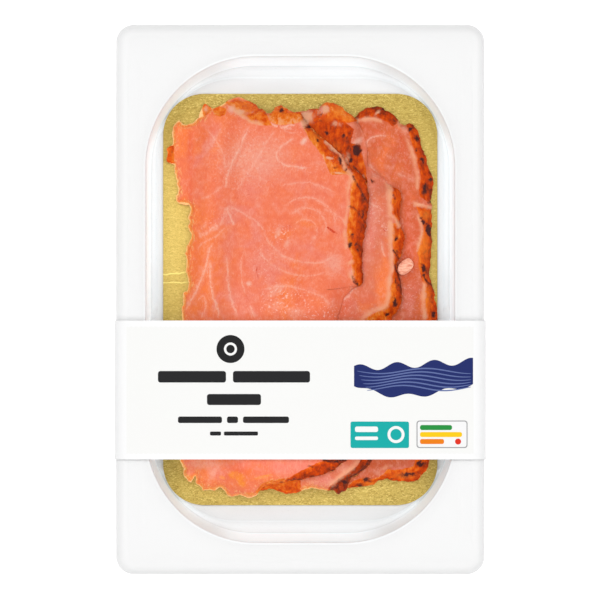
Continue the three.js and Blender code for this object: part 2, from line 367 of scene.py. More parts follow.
# %% Table and light
TABLE_DROP = 0.05
bpy.ops.mesh.primitive_plane_add(size=12, location=(0, 0, -TABLE_DROP * MM))
table = bpy.context.object
table.name = "studio_table"
table_finish = Finish("studio_white")
table.data.materials.append(table_finish.surface(
    Base_Color=(0.86, 0.86, 0.86, 1), Roughness=0.9, Specular_IOR_Level=0.1,
    Emission_Color=(1, 1, 1, 1), Emission_Strength=0.36))
table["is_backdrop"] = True

world = bpy.data.worlds.new("studio_sky")
world.use_nodes = True
bpy.context.scene.world = world
sky = Graph(world.node_tree)
direction = sky.node("ShaderNodeTexCoord", {}, {}, "Generated")
height = sky.node("ShaderNodeSeparateXYZ", {}, {"Vector": direction}, "Z")
HORIZON_GLOW = (0.36, 0.36, 0.37, 1)
RING_GLOW = (0.95, 0.95, 0.95, 1)
OVERHEAD_GLOW = (0.62, 0.62, 0.62, 1)
glow = sky.mix(HORIZON_GLOW, RING_GLOW, height.rise(0.05, 0.6))
glow = sky.mix(glow, OVERHEAD_GLOW, height.rise(0.93, 0.98))
sky.node("ShaderNodeOutputWorld", {}, {"Surface": sky.node("ShaderNodeBackground", {}, {"Color": glow})})


def add_softbox(name, place, size, power):
    """A square soft light that looks at the pack."""
    bpy.ops.object.light_add(type="AREA", location=place)
    light = bpy.context.object
    light.name = name
    light.data.size = size
    light.data.energy = power
    toward = -light.location
    light.rotation_euler = toward.to_track_quat("-Z", "Y").to_euler()
    light.visible_camera = False


add_softbox("softbox_left", (-0.5, 0.35, 0.8), 0.3, 1.6)
add_softbox("softbox_right", (0.5, 0.2, 0.8), 0.3, 1.2)
add_softbox("softbox_near", (0, -0.75, 0.55), 0.3, 1.4)
add_softbox("softbox_above", (0, 0, 1.2), 0.6, 3.4)
# The box above lights the pack without a reflection in it, as light through a wide cloth does.
bpy.data.objects["softbox_above"].visible_glossy = False

# %% Camera
LENS = 800
bpy.ops.object.camera_add()
camera = bpy.context.object
camera.name = "camera_above"
camera.data.lens = LENS
view_width = PHOTO_SIDE_PX * pixel
view_middle = plan((PHOTO_SIDE_PX / 2, PHOTO_SIDE_PX / 2))
camera_height = tray_high.z + view_width * LENS / camera.data.sensor_width
camera.location = (view_middle[0] * MM, view_middle[1] * MM, camera_height * MM)
camera.data.clip_end = 100
bpy.context.scene.camera = camera
bpy.context.scene.view_settings.view_transform = "Standard"
print(f"the camera is {camera_height / 1000:.2f} m above the table and sees {view_width:.1f} mm")

# %% [markdown]
# ## The tray
# The tray is one sheet of plastic drawn into a mould, so every edge of it is round. Seen from the
# middle of its floor outwards it is a stack of rings, all rounded rectangles: the floor, a groove,
# the steep wall, the rim, the flange, its rolled edge and the skirt. A grid with one row for each
# ring is wrapped round this stack, as an unrolled skin. Insets alone can't do it, because the
# recess has round corners of 40 mm and the outline has corners of 6.5 mm.

# %% Rings
CORNER_STEPS = 72
SIDE_STEPS = 56
END_STEPS = 34


def ring(half_width, half_length, corner, height):
    """Points round a rounded rectangle, as many for every size, so that rings can be joined."""
    points = []
    inner_x = half_width - corner
    inner_y = half_length - corner
    middles = [(inner_x, inner_y), (-inner_x, inner_y), (-inner_x, -inner_y), (inner_x, -inner_y)]
    for quarter, middle in enumerate(middles):
        angle = np.radians(90 * quarter + np.linspace(0, 90, CORNER_STEPS + 1))
        arc = np.array(middle) + corner * np.column_stack([np.cos(angle), np.sin(angle)])
        start = np.array(middles[(quarter + 1) % 4])
        next_angle = math.radians(90 * quarter + 90)
        start = start + corner * np.array([math.cos(next_angle), math.sin(next_angle)])
        steps = END_STEPS if quarter % 2 == 0 else SIDE_STEPS
        shares = np.linspace(0, 1, steps + 1)[1:-1, None]
        points += [arc, arc[-1] + (start - arc[-1]) * shares]
    plan_points = np.vstack(points)
    return np.column_stack([plan_points, np.full(len(plan_points), height)])


def rolled(middle, radius, from_angle, to_angle, steps):
    """Rings over a rounded edge whose arc turns round the ring `middle`."""
    half_width, half_length, corner, height = middle
    rings = []
    for angle in np.radians(np.linspace(from_angle, to_angle, steps + 1)):
        out = radius * math.cos(angle)
        up = radius * math.sin(angle)
        rings.append(ring(half_width + out, half_length + out, corner + out, height + up))
    return rings


def between(first, last, steps):
    """Rings from first to last, without either of them."""
    return [first + (last - first) * share for share in np.linspace(0, 1, steps + 1)[1:-1]]


# %% The tray's sizes and its stack of rings
TRAY_CORNER = 6.5
WALL = 0.7
FLOOR_TOP = 1.4
FLOOR = (51.8, 80.35, 28.5)
WALL_FOOT = (54.6, 85.3, 38)
RIM = (57, 89.25, 41)
RIM_ROLL = 1
EDGE_ROLL = 4
SKIRT_BOTTOM = 8
GROOVE_DROP = 0.7

half_width, half_length, flange_top = tray_high
edge_middle = [size - EDGE_ROLL for size in (half_width, half_length, TRAY_CORNER, flange_top)]
rim_middle = (*RIM, flange_top - RIM_ROLL)


def grown(size, by, height):
    """A ring that is `by` millimetres larger all round than the size."""
    return ring(size[0] + by, size[1] + by, size[2] + by, height)


rim_rings = rolled(rim_middle, -RIM_ROLL, 0, -90, 8)
edge_rings = rolled(edge_middle, EDGE_ROLL, 90, 0, 14)
groove_inner = ring(FLOOR[0] + 0.8, FLOOR[1] + 1.04, FLOOR[2] + 2, FLOOR_TOP - GROOVE_DROP)
groove_outer = grown(WALL_FOOT, -0.4, FLOOR_TOP - GROOVE_DROP)
wall_foot = ring(*WALL_FOOT, FLOOR_TOP + 0.2)
floor_edge = ring(*FLOOR, FLOOR_TOP)
inside_rings = [floor_edge * (0, 0, 1), floor_edge * (0.5, 0.5, 1), floor_edge * (0.9, 0.9, 1),
                *between(floor_edge * (0.9, 0.9, 1), floor_edge, 3), floor_edge,
                *between(floor_edge, groove_inner, 2), groove_inner,
                groove_outer, *between(groove_outer, wall_foot, 2), wall_foot,
                *between(wall_foot, rim_rings[0], 6), *rim_rings]
# In that list, counted from 0, the groove's inner ring is number 7 and the floor's come before it.
GROOVE_RING = 7
flange_rings = between(rim_rings[-1], edge_rings[0], 26)
skirt_inner = ring(half_width - WALL, half_length - WALL, TRAY_CORNER - WALL, SKIRT_BOTTOM)
below_rings = [ring(half_width, half_length, TRAY_CORNER, SKIRT_BOTTOM), skirt_inner,
               *rolled(edge_middle, EDGE_ROLL - WALL, 0, 90, 5),
               ring(*RIM, flange_top - WALL), grown(RIM, -0.3, flange_top - WALL - 0.5),
               grown(WALL_FOOT, WALL, FLOOR_TOP - 0.3), grown(WALL_FOOT, 0.1, 0),
               ring(FLOOR[0] + 0.2, FLOOR[1] + 0.4, FLOOR[2] + 0.6, 0), grown(FLOOR, -0.5, FLOOR_TOP - WALL),
               ring(*FLOOR, FLOOR_TOP - WALL) * (0.5, 0.5, 1), ring(*FLOOR, FLOOR_TOP - WALL) * (0, 0, 1)]
tray_rings = np.array([*inside_rings, *flange_rings, *edge_rings, *below_rings])
print(f"the tray's skin has {tray_rings.shape[0]} rings of {tray_rings.shape[1]} points")

# %% [markdown]
# ### Low relief in the flange
# The moulded flange isn't quite flat. Flutes fan out round the recess corners and stand side by
# side at its ends, long shallow panels lie beside it, two tabs lie at each end, and creases cross
# the outer corners. All of them are less than a tenth of a millimetre high, and mirrored in both
# directions.

# %% Flutes, panels, tabs and creases
FLUTE_REACH_MM = 8
FLUTE_DEPTH = 0.07
END_FLUTE_MM = 2.6
STEP_HEIGHT = 0.08
SIDE_PANELS = ((122, 141, 66, 185), (122, 141, 195, 285))
END_TABS = ((265, 295, 29, 36), (300, 336, 29, 36))
CORNER_CREASES = (
    ((143, 25), (180, 45)), ((212, 26), (222, 34)), ((120, 55), (128, 68)), ((125, 38), (135, 33)))


def smooth(value, low, high):
    """Goes smoothly from 0 to 1 while the value goes from low to high."""
    share = np.clip((value - low) / (high - low), 0, 1)
    return share * share * (3 - 2 * share)


def to_segments(places, line):
    """Each place's distance to a line of points, which side of it the place is on, and how far along."""
    best = np.full(len(places), np.inf)
    side = np.ones(len(places))
    along = np.zeros(len(places))
    for index, (start, stop) in enumerate(zip(line[:-1], line[1:])):
        way = stop - start
        rest = places - start
        share = np.clip(rest @ way / (way @ way), 0, 1)
        off = rest - share[:, None] * way
        distance = np.hypot(off[:, 0], off[:, 1])
        nearer = distance < best
        best[nearer] = distance[nearer]
        turn = way[0] * rest[:, 1] - way[1] * rest[:, 0]
        side[nearer] = np.where(turn[nearer] < 0, -1, 1)
        along[nearer] = (index + share[nearer]) / (len(line) - 1)
    return best, side, along


def flange_relief(points):
    """How far the flange rises or sinks at points in plan, in millimetres."""
    mirrored = np.abs(points[:, :2])
    corner_middle = np.array([RIM[0] - RIM[2], RIM[1] - RIM[2]])
    spoke = mirrored - corner_middle
    turn = np.degrees(np.arctan2(spoke[:, 1], spoke[:, 0]))
    from_rim = np.hypot(spoke[:, 0], spoke[:, 1]) - RIM[2]
    in_corner = smooth(turn, 4, 16) * smooth(-turn, -90, -82)
    fades = smooth(from_rim, 0, 1.5) * smooth(-from_rim, -FLUTE_REACH_MM, -FLUTE_REACH_MM * 0.6)
    rise = FLUTE_DEPTH * np.sin(np.radians(turn) * 24) * in_corner * fades
    beyond_end = mirrored[:, 1] - RIM[1]
    at_end = smooth(-mirrored[:, 0], -34, -28) * smooth(beyond_end, 1, 2) * smooth(-beyond_end, -6.5, -5)
    rise += FLUTE_DEPTH * 0.6 * np.sin(mirrored[:, 0] * 2 * math.pi / END_FLUTE_MM) * at_end
    # Panels and tabs are steps with soft sides.
    for left, right, far, near in (*SIDE_PANELS, *END_TABS):
        high = np.abs(plan((left, far)))
        low = np.abs(plan((right, near)))
        low, high = np.minimum(low, high), np.maximum(low, high)
        inside = np.minimum(mirrored - low, high - mirrored).min(axis=1)
        rise += STEP_HEIGHT * smooth(inside, -0.3, 0.3)
    for crease in CORNER_CREASES:
        distance, _, _ = to_segments(mirrored, np.abs(plan(crease)))
        rise += STEP_HEIGHT * np.exp(-(distance / 0.5) ** 2)
    return rise


# %% [markdown]
# ### Wrapping the skin
# The grid's rows become the rings, and its first and last column meet where the skin closes, so
# doubled points are merged. The rows at both ends shrink to one point, which closes the skin. Under
# the sleeve the foot bead is left out, so that the card can pass beneath the floor.

# %% The tray
SLEEVE_GAP_MM = 5.5
sleeve_low, sleeve_high = span("sleeve")

ring_count, around = tray_rings.shape[:2]
points = tray_rings.reshape(-1, 3)
flange_first = len(inside_rings) * around
flange_last = flange_first + len(flange_rings) * around
points[flange_first:flange_last, 2] += flange_relief(points[flange_first:flange_last])
sleeve_middle = (sleeve_low.y + sleeve_high.y) / 2
from_sleeve = np.abs(points[:, 1] - sleeve_middle) - (sleeve_high.y - sleeve_low.y) / 2
under_sleeve = 1 - smooth(from_sleeve, SLEEVE_GAP_MM - 2, SLEEVE_GAP_MM)
plain_floor = np.where(np.arange(len(points)) < flange_first, FLOOR_TOP, FLOOR_TOP - WALL)
below_floor = np.clip(plain_floor - points[:, 2], 0, None)
points[:, 2] += under_sleeve * below_floor
rows = points.reshape(ring_count, around, 3)
rows = np.concatenate([rows, rows[:, :1]], axis=1).reshape(-1, 3)

bpy.ops.mesh.primitive_grid_add(x_subdivisions=around, y_subdivisions=ring_count - 1, size=1)
tray = bpy.context.object
set_places(tray, rows)

# %% [markdown]
# ### Painted light in the plastic
# Thin white plastic lets light through, but here the steep wall's brightness is painted light: the
# surface gives off light of its own, so the wall looks as bright as the flange, though little light
# falls on it. Two numbers at each vertex say this. The first is that painted glow: most in the wall,
# less at its corners and ends, and a little in the groove, on the rim's roll and where the floor
# isn't covered. The second is painted shade in the plastic's white: less white on the floor, beside
# the rim and along the outer edge.

# %% Painted glow and shade
END_FROM_TO = (76, 84)
FLOOR_END_FROM_TO = (66, 72)
BOARD_SIDE_FROM_TO = (50.2, 51.8)

in_recess = np.arange(len(rows)) < len(inside_rings) * (around + 1)
ring_of = np.arange(len(rows)) // (around + 1)
across, along, height = np.abs(rows[:, 0]), np.abs(rows[:, 1]), rows[:, 2]
beyond = np.column_stack([across, along]) - (RIM[0] - RIM[2], RIM[1] - RIM[2])
turn = np.degrees(np.arctan2(beyond[:, 1], beyond[:, 0]))
from_rim = np.hypot(*np.clip(beyond, 0, None).T) + np.clip(beyond.max(axis=1), None, 0) - RIM[2]
roll_foot = flange_top - RIM_ROLL

at_corner = smooth(turn, 6, 26) * smooth(-turn, -84, -64)
at_end = smooth(along, *END_FROM_TO)
at_near_end = at_end * (rows[:, 1] < 0)
in_wall = smooth(height, 1.45, 1.6) * smooth(-height, -roll_foot - 0.5, -roll_foot + 0.3)
in_groove = smooth(-height, -FLOOR_TOP, -1.2)
at_foot = (ring_of > GROOVE_RING) & (ring_of < GROOVE_RING + 3)
on_roll = np.exp(-((from_rim + 0.55) / 0.4) ** 2) * (height > roll_foot)
beside_board = smooth(across, *BOARD_SIDE_FROM_TO) * (np.abs(height - FLOOR_TOP) < 0.01)
floor_end = smooth(along, *FLOOR_END_FROM_TO) * (ring_of < GROOVE_RING)

# Painted light: the wall, groove, foot, roll and bare floor give off light of their own.
wall_glow = 0.44 - 0.16 * at_corner - 0.06 * at_end - 0.05 * at_near_end
groove_glow = 0.15 - 0.1 * at_end
foot_glow = (0.04 + 0.1 * at_end - 0.04 * at_near_end) * (1 - at_corner)
roll_glow = 0.11 + 0.08 * at_end
glow = in_wall * wall_glow + in_groove * groove_glow + at_foot * foot_glow + on_roll * roll_glow
glow += 0.12 * beside_board + 0.04 * floor_end

# Painted shade: the plastic's white is darker on the floor, beside the rim and at the outer edge.
on_floor = in_recess & (height < FLOOR_TOP + 0.01)
by_rim = np.exp(-np.abs(from_rim) / 1.6) * (height > roll_foot)
outer_edge_shade = 0.11 * np.exp((along - half_length) / 3) + 0.04 * np.exp((across - half_width) / 2)
tone = 1 - 0.06 * on_floor - 0.05 * by_rim - outer_edge_shade
set_attributes(tray, {"glow": glow * in_recess, "tone": tone})

# %% The tray's skin, closed and dressed
edit(tray)
bpy.ops.mesh.remove_doubles(threshold=0.002 * MM)
leave()
face_outwards(tray)

white = Finish("tray_white")
grain = white.noise(0.9, detail=3)
# The painted glow is a little cool, against the warm light that the fish sends back.
painted_glow_color = white.mix((0, 0, 0, 1), (0.86, 1, 1.06, 1), white.attribute("glow"))
tray_color = white.mix((0, 0, 0, 1), lit(248, 248, 248), white.attribute("tone"))
tray_material = white.surface(Base_Color=tray_color, Roughness=0.42, Specular_IOR_Level=0.15,
                              Emission_Color=painted_glow_color, Emission_Strength=1,
                              Normal=white.bump(grain, 0.006))
finish_piece(tray, "tray_skin", tray_material, stands_for=["tray"])

# %% [markdown]
# ## The lid film
# The film is a thin clear sheet with rounded corners, sealed on the flange. Head-on it can hardly
# be seen, and at a low angle it mirrors the sky. So its finish is mostly see-through, with a share
# of gloss that grows with the angle of view, as on any clear plastic.

# %% Sheets with round corners


def add_sheet(low, high, corner, steps):
    """A flat sheet with round corners: a plane whose corners are bevelled, pulled up to its thickness."""
    middle = (low + high) / 2
    bpy.ops.mesh.primitive_plane_add(size=1, location=(middle.x * MM, middle.y * MM, low.z * MM))
    piece = bpy.context.object
    piece.scale = ((high.x - low.x) * MM, (high.y - low.y) * MM, 1)
    apply_size(piece)
    edit(piece)
    bpy.ops.mesh.bevel(offset=corner * MM, segments=steps, affect="VERTICES")
    bpy.ops.mesh.select_all(action="SELECT")
    pull_up(high.z - low.z)
    leave()
    face_outwards(piece)
    return piece


# %% The film
FILM_CORNER = 2.4
film = add_sheet(*span("film"), FILM_CORNER, 8)
clear = Finish("clear_film")
glance = clear.node("ShaderNodeFresnel", {}, {"IOR": 1.15}) * 0.25
gloss = clear.node("ShaderNodeBsdfPrincipled", {}, {"Base Color": (0.3, 0.3, 0.3, 1), "Roughness": 0.08})
see_through = clear.node("ShaderNodeBsdfTransparent", {}, {})
film_material = clear.end(clear.node("ShaderNodeMixShader", {}, {0: glance, 1: see_through, 2: gloss}))
finish_piece(film, "lid_film", film_material, stands_for=["film"], smooth_below=30)

# %% [markdown]
# ## The gold board
# The slices lie on a stiff board with large round corners, laminated with gold foil. The foil is
# finely crinkled, so it breaks the light into small flecks along the board, and a few long creases
# catch more light, which is painted into the colour as a highlight. The left side and the near end
# are painted lighter, as painted light. Where the fish or the tray's wall is near, less light reaches
# the foil and it turns olive, which the renderer does by itself.

# %% The board
BOARD_CORNER = 15
card_low, card_high = span("card")
card = add_sheet(card_low, card_high, BOARD_CORNER, 24)
edit(card)
choose(card, "edges", lambda e: all(v.co.z > (card_high.z - 0.01) * MM for v in e.verts))
bpy.ops.mesh.bevel(offset=0.12 * MM, segments=2, affect="EDGES")
leave()

gold = Finish("gold_foil")
along_board = gold.turned(0, (0.45, 1, 1))
crinkle = gold.noise(1.2, detail=1, distortion=0.6, place=along_board)
fleck = gold.noise(0.42, detail=2, distortion=1.2, place=along_board)
broad = gold.noise(26, detail=1)
rough_end = abs(gold.axis("Y") - 4).rise(56, 68)
# Painted light: the foil is lighter at its left side and near end, with a broad random mottle.
lit_side = (1 - abs(gold.axis("Y") - 20) / 46).larger(0) * (gold.axis("X") * -1).rise(20, 42)
near_end = (gold.axis("Y") * -1).rise(64, 70)
painted_light_and_mottle = (lit_side + near_end * 0.5 + (broad - 0.5) * 0.5).rise(0, 1)
# Painted highlights along two long creases.
crease_way = gold.axis("Y") + (gold.noise(7, detail=2) - 0.5) * 4
painted_crease_highlights = 0
for crease_y in (9.6, 6.2):
    painted_crease_highlights = painted_crease_highlights + (0.35 - abs(crease_way - crease_y)).rise(0, 0.3)
painted_crease_highlights = painted_crease_highlights * (gold.axis("X") * -1).rise(38, 44)
foil = gold.layers(
    srgb(184, 158, 74),
    (srgb(206, 178, 90), painted_light_and_mottle),
    (srgb(140, 114, 34), fleck.rise(0.5, 0.68) * (rough_end * 0.3 + 0.4)),
    (srgb(238, 218, 130), (1 - fleck).rise(0.52, 0.7) * (rough_end * 0.3 + 0.36)),
    (srgb(246, 232, 134), painted_crease_highlights.smaller(1) * 0.7))
card_material = gold.surface(Base_Color=foil, Metallic=0.35, Roughness=0.5,
                             Normal=gold.bump(crinkle * (rough_end * 1.2 + 0.8), 0.09))
finish_piece(card, "gold_board", card_material, stands_for=["card"], smooth_below=30)

# %% [markdown]
# ## The salmon
# The fish was roasted as a whole side and then cut into thick slices. So each slice has a wide pale
# cut face, and a browned crust runs along three sides where the outside of the fish was. The three
# slices lie fanned, each a little further right and lower. A slice is made from a flat grid that is
# pulled to four border lines read off the photograph, extruded to a thickness, and then laid over
# the slices below it.

# %% Lines and areas in plan


def curve(places, step):
    """A smooth line through places in the photograph, with a point every `step` millimetres."""
    knots = plan(places)
    before = 2 * knots[0] - knots[1]
    after = 2 * knots[-1] - knots[-2]
    knots = np.vstack([before, knots, after])
    line = [knots[1]]
    for a, b, c, d in zip(knots, knots[1:], knots[2:], knots[3:]):
        count = max(2, int(np.hypot(*(c - b)) / step) + 1)
        share = np.linspace(0, 1, count + 1)[1:, None]
        # Tangents are eased by the spacing of the knots, so that the line has no loops.
        near, here, far = (max(np.hypot(*way), 0.01) ** 0.5 for way in (b - a, c - b, d - c))
        leaving = here * ((b - a) / near - (c - a) / (near + here) + (c - b) / here)
        coming = here * ((c - b) / here - (d - b) / (here + far) + (d - c) / far)
        line += list((2 * share**3 - 3 * share**2 + 1) * b + (share**3 - 2 * share**2 + share) * leaving
                     + (3 * share**2 - 2 * share**3) * c + (share**3 - share**2) * coming)
    return np.array(line)


def spaced(line, shares):
    """Points of a line at shares of its length."""
    steps = np.hypot(*np.diff(line, axis=0).T)
    length = np.concatenate([[0], np.cumsum(steps)])
    return np.column_stack([np.interp(shares * length[-1], length, line[:, axis]) for axis in (0, 1)])


def inside(places, area):
    """Which places lie within an area's outline."""
    crossings = np.zeros(len(places), int)
    for start, stop in zip(area, np.roll(area, -1, axis=0)):
        spans = (start[1] > places[:, 1]) != (stop[1] > places[:, 1])
        rise = stop[1] - start[1] or 1
        meets = start[0] + (places[:, 1] - start[1]) * (stop[0] - start[0]) / rise
        crossings += spans & (places[:, 0] < meets)
    return crossings % 2 == 1


def depth_in(places, area):
    """How deep places lie in an area, in millimetres, and less than 0 outside it."""
    distance = to_segments(places, np.vstack([area, area[:1]]))[0]
    return np.where(inside(places, area), distance, -distance)


def lumps(places, size, seed):
    """Smooth noise from -1 to 1 whose lumps are about `size` millimetres wide."""
    values = np.random.default_rng(seed).uniform(-1, 1, (256, 256))
    cell = places / size + 128
    corner = np.floor(cell).astype(int)
    share = cell - corner
    share = share * share * (3 - 2 * share)
    x, y = corner[:, 0] % 255, corner[:, 1] % 255
    low = values[x, y] * (1 - share[:, 0]) + values[x + 1, y] * share[:, 0]
    high = values[x, y + 1] * (1 - share[:, 0]) + values[x + 1, y + 1] * share[:, 0]
    return low * (1 - share[:, 1]) + high * share[:, 1]
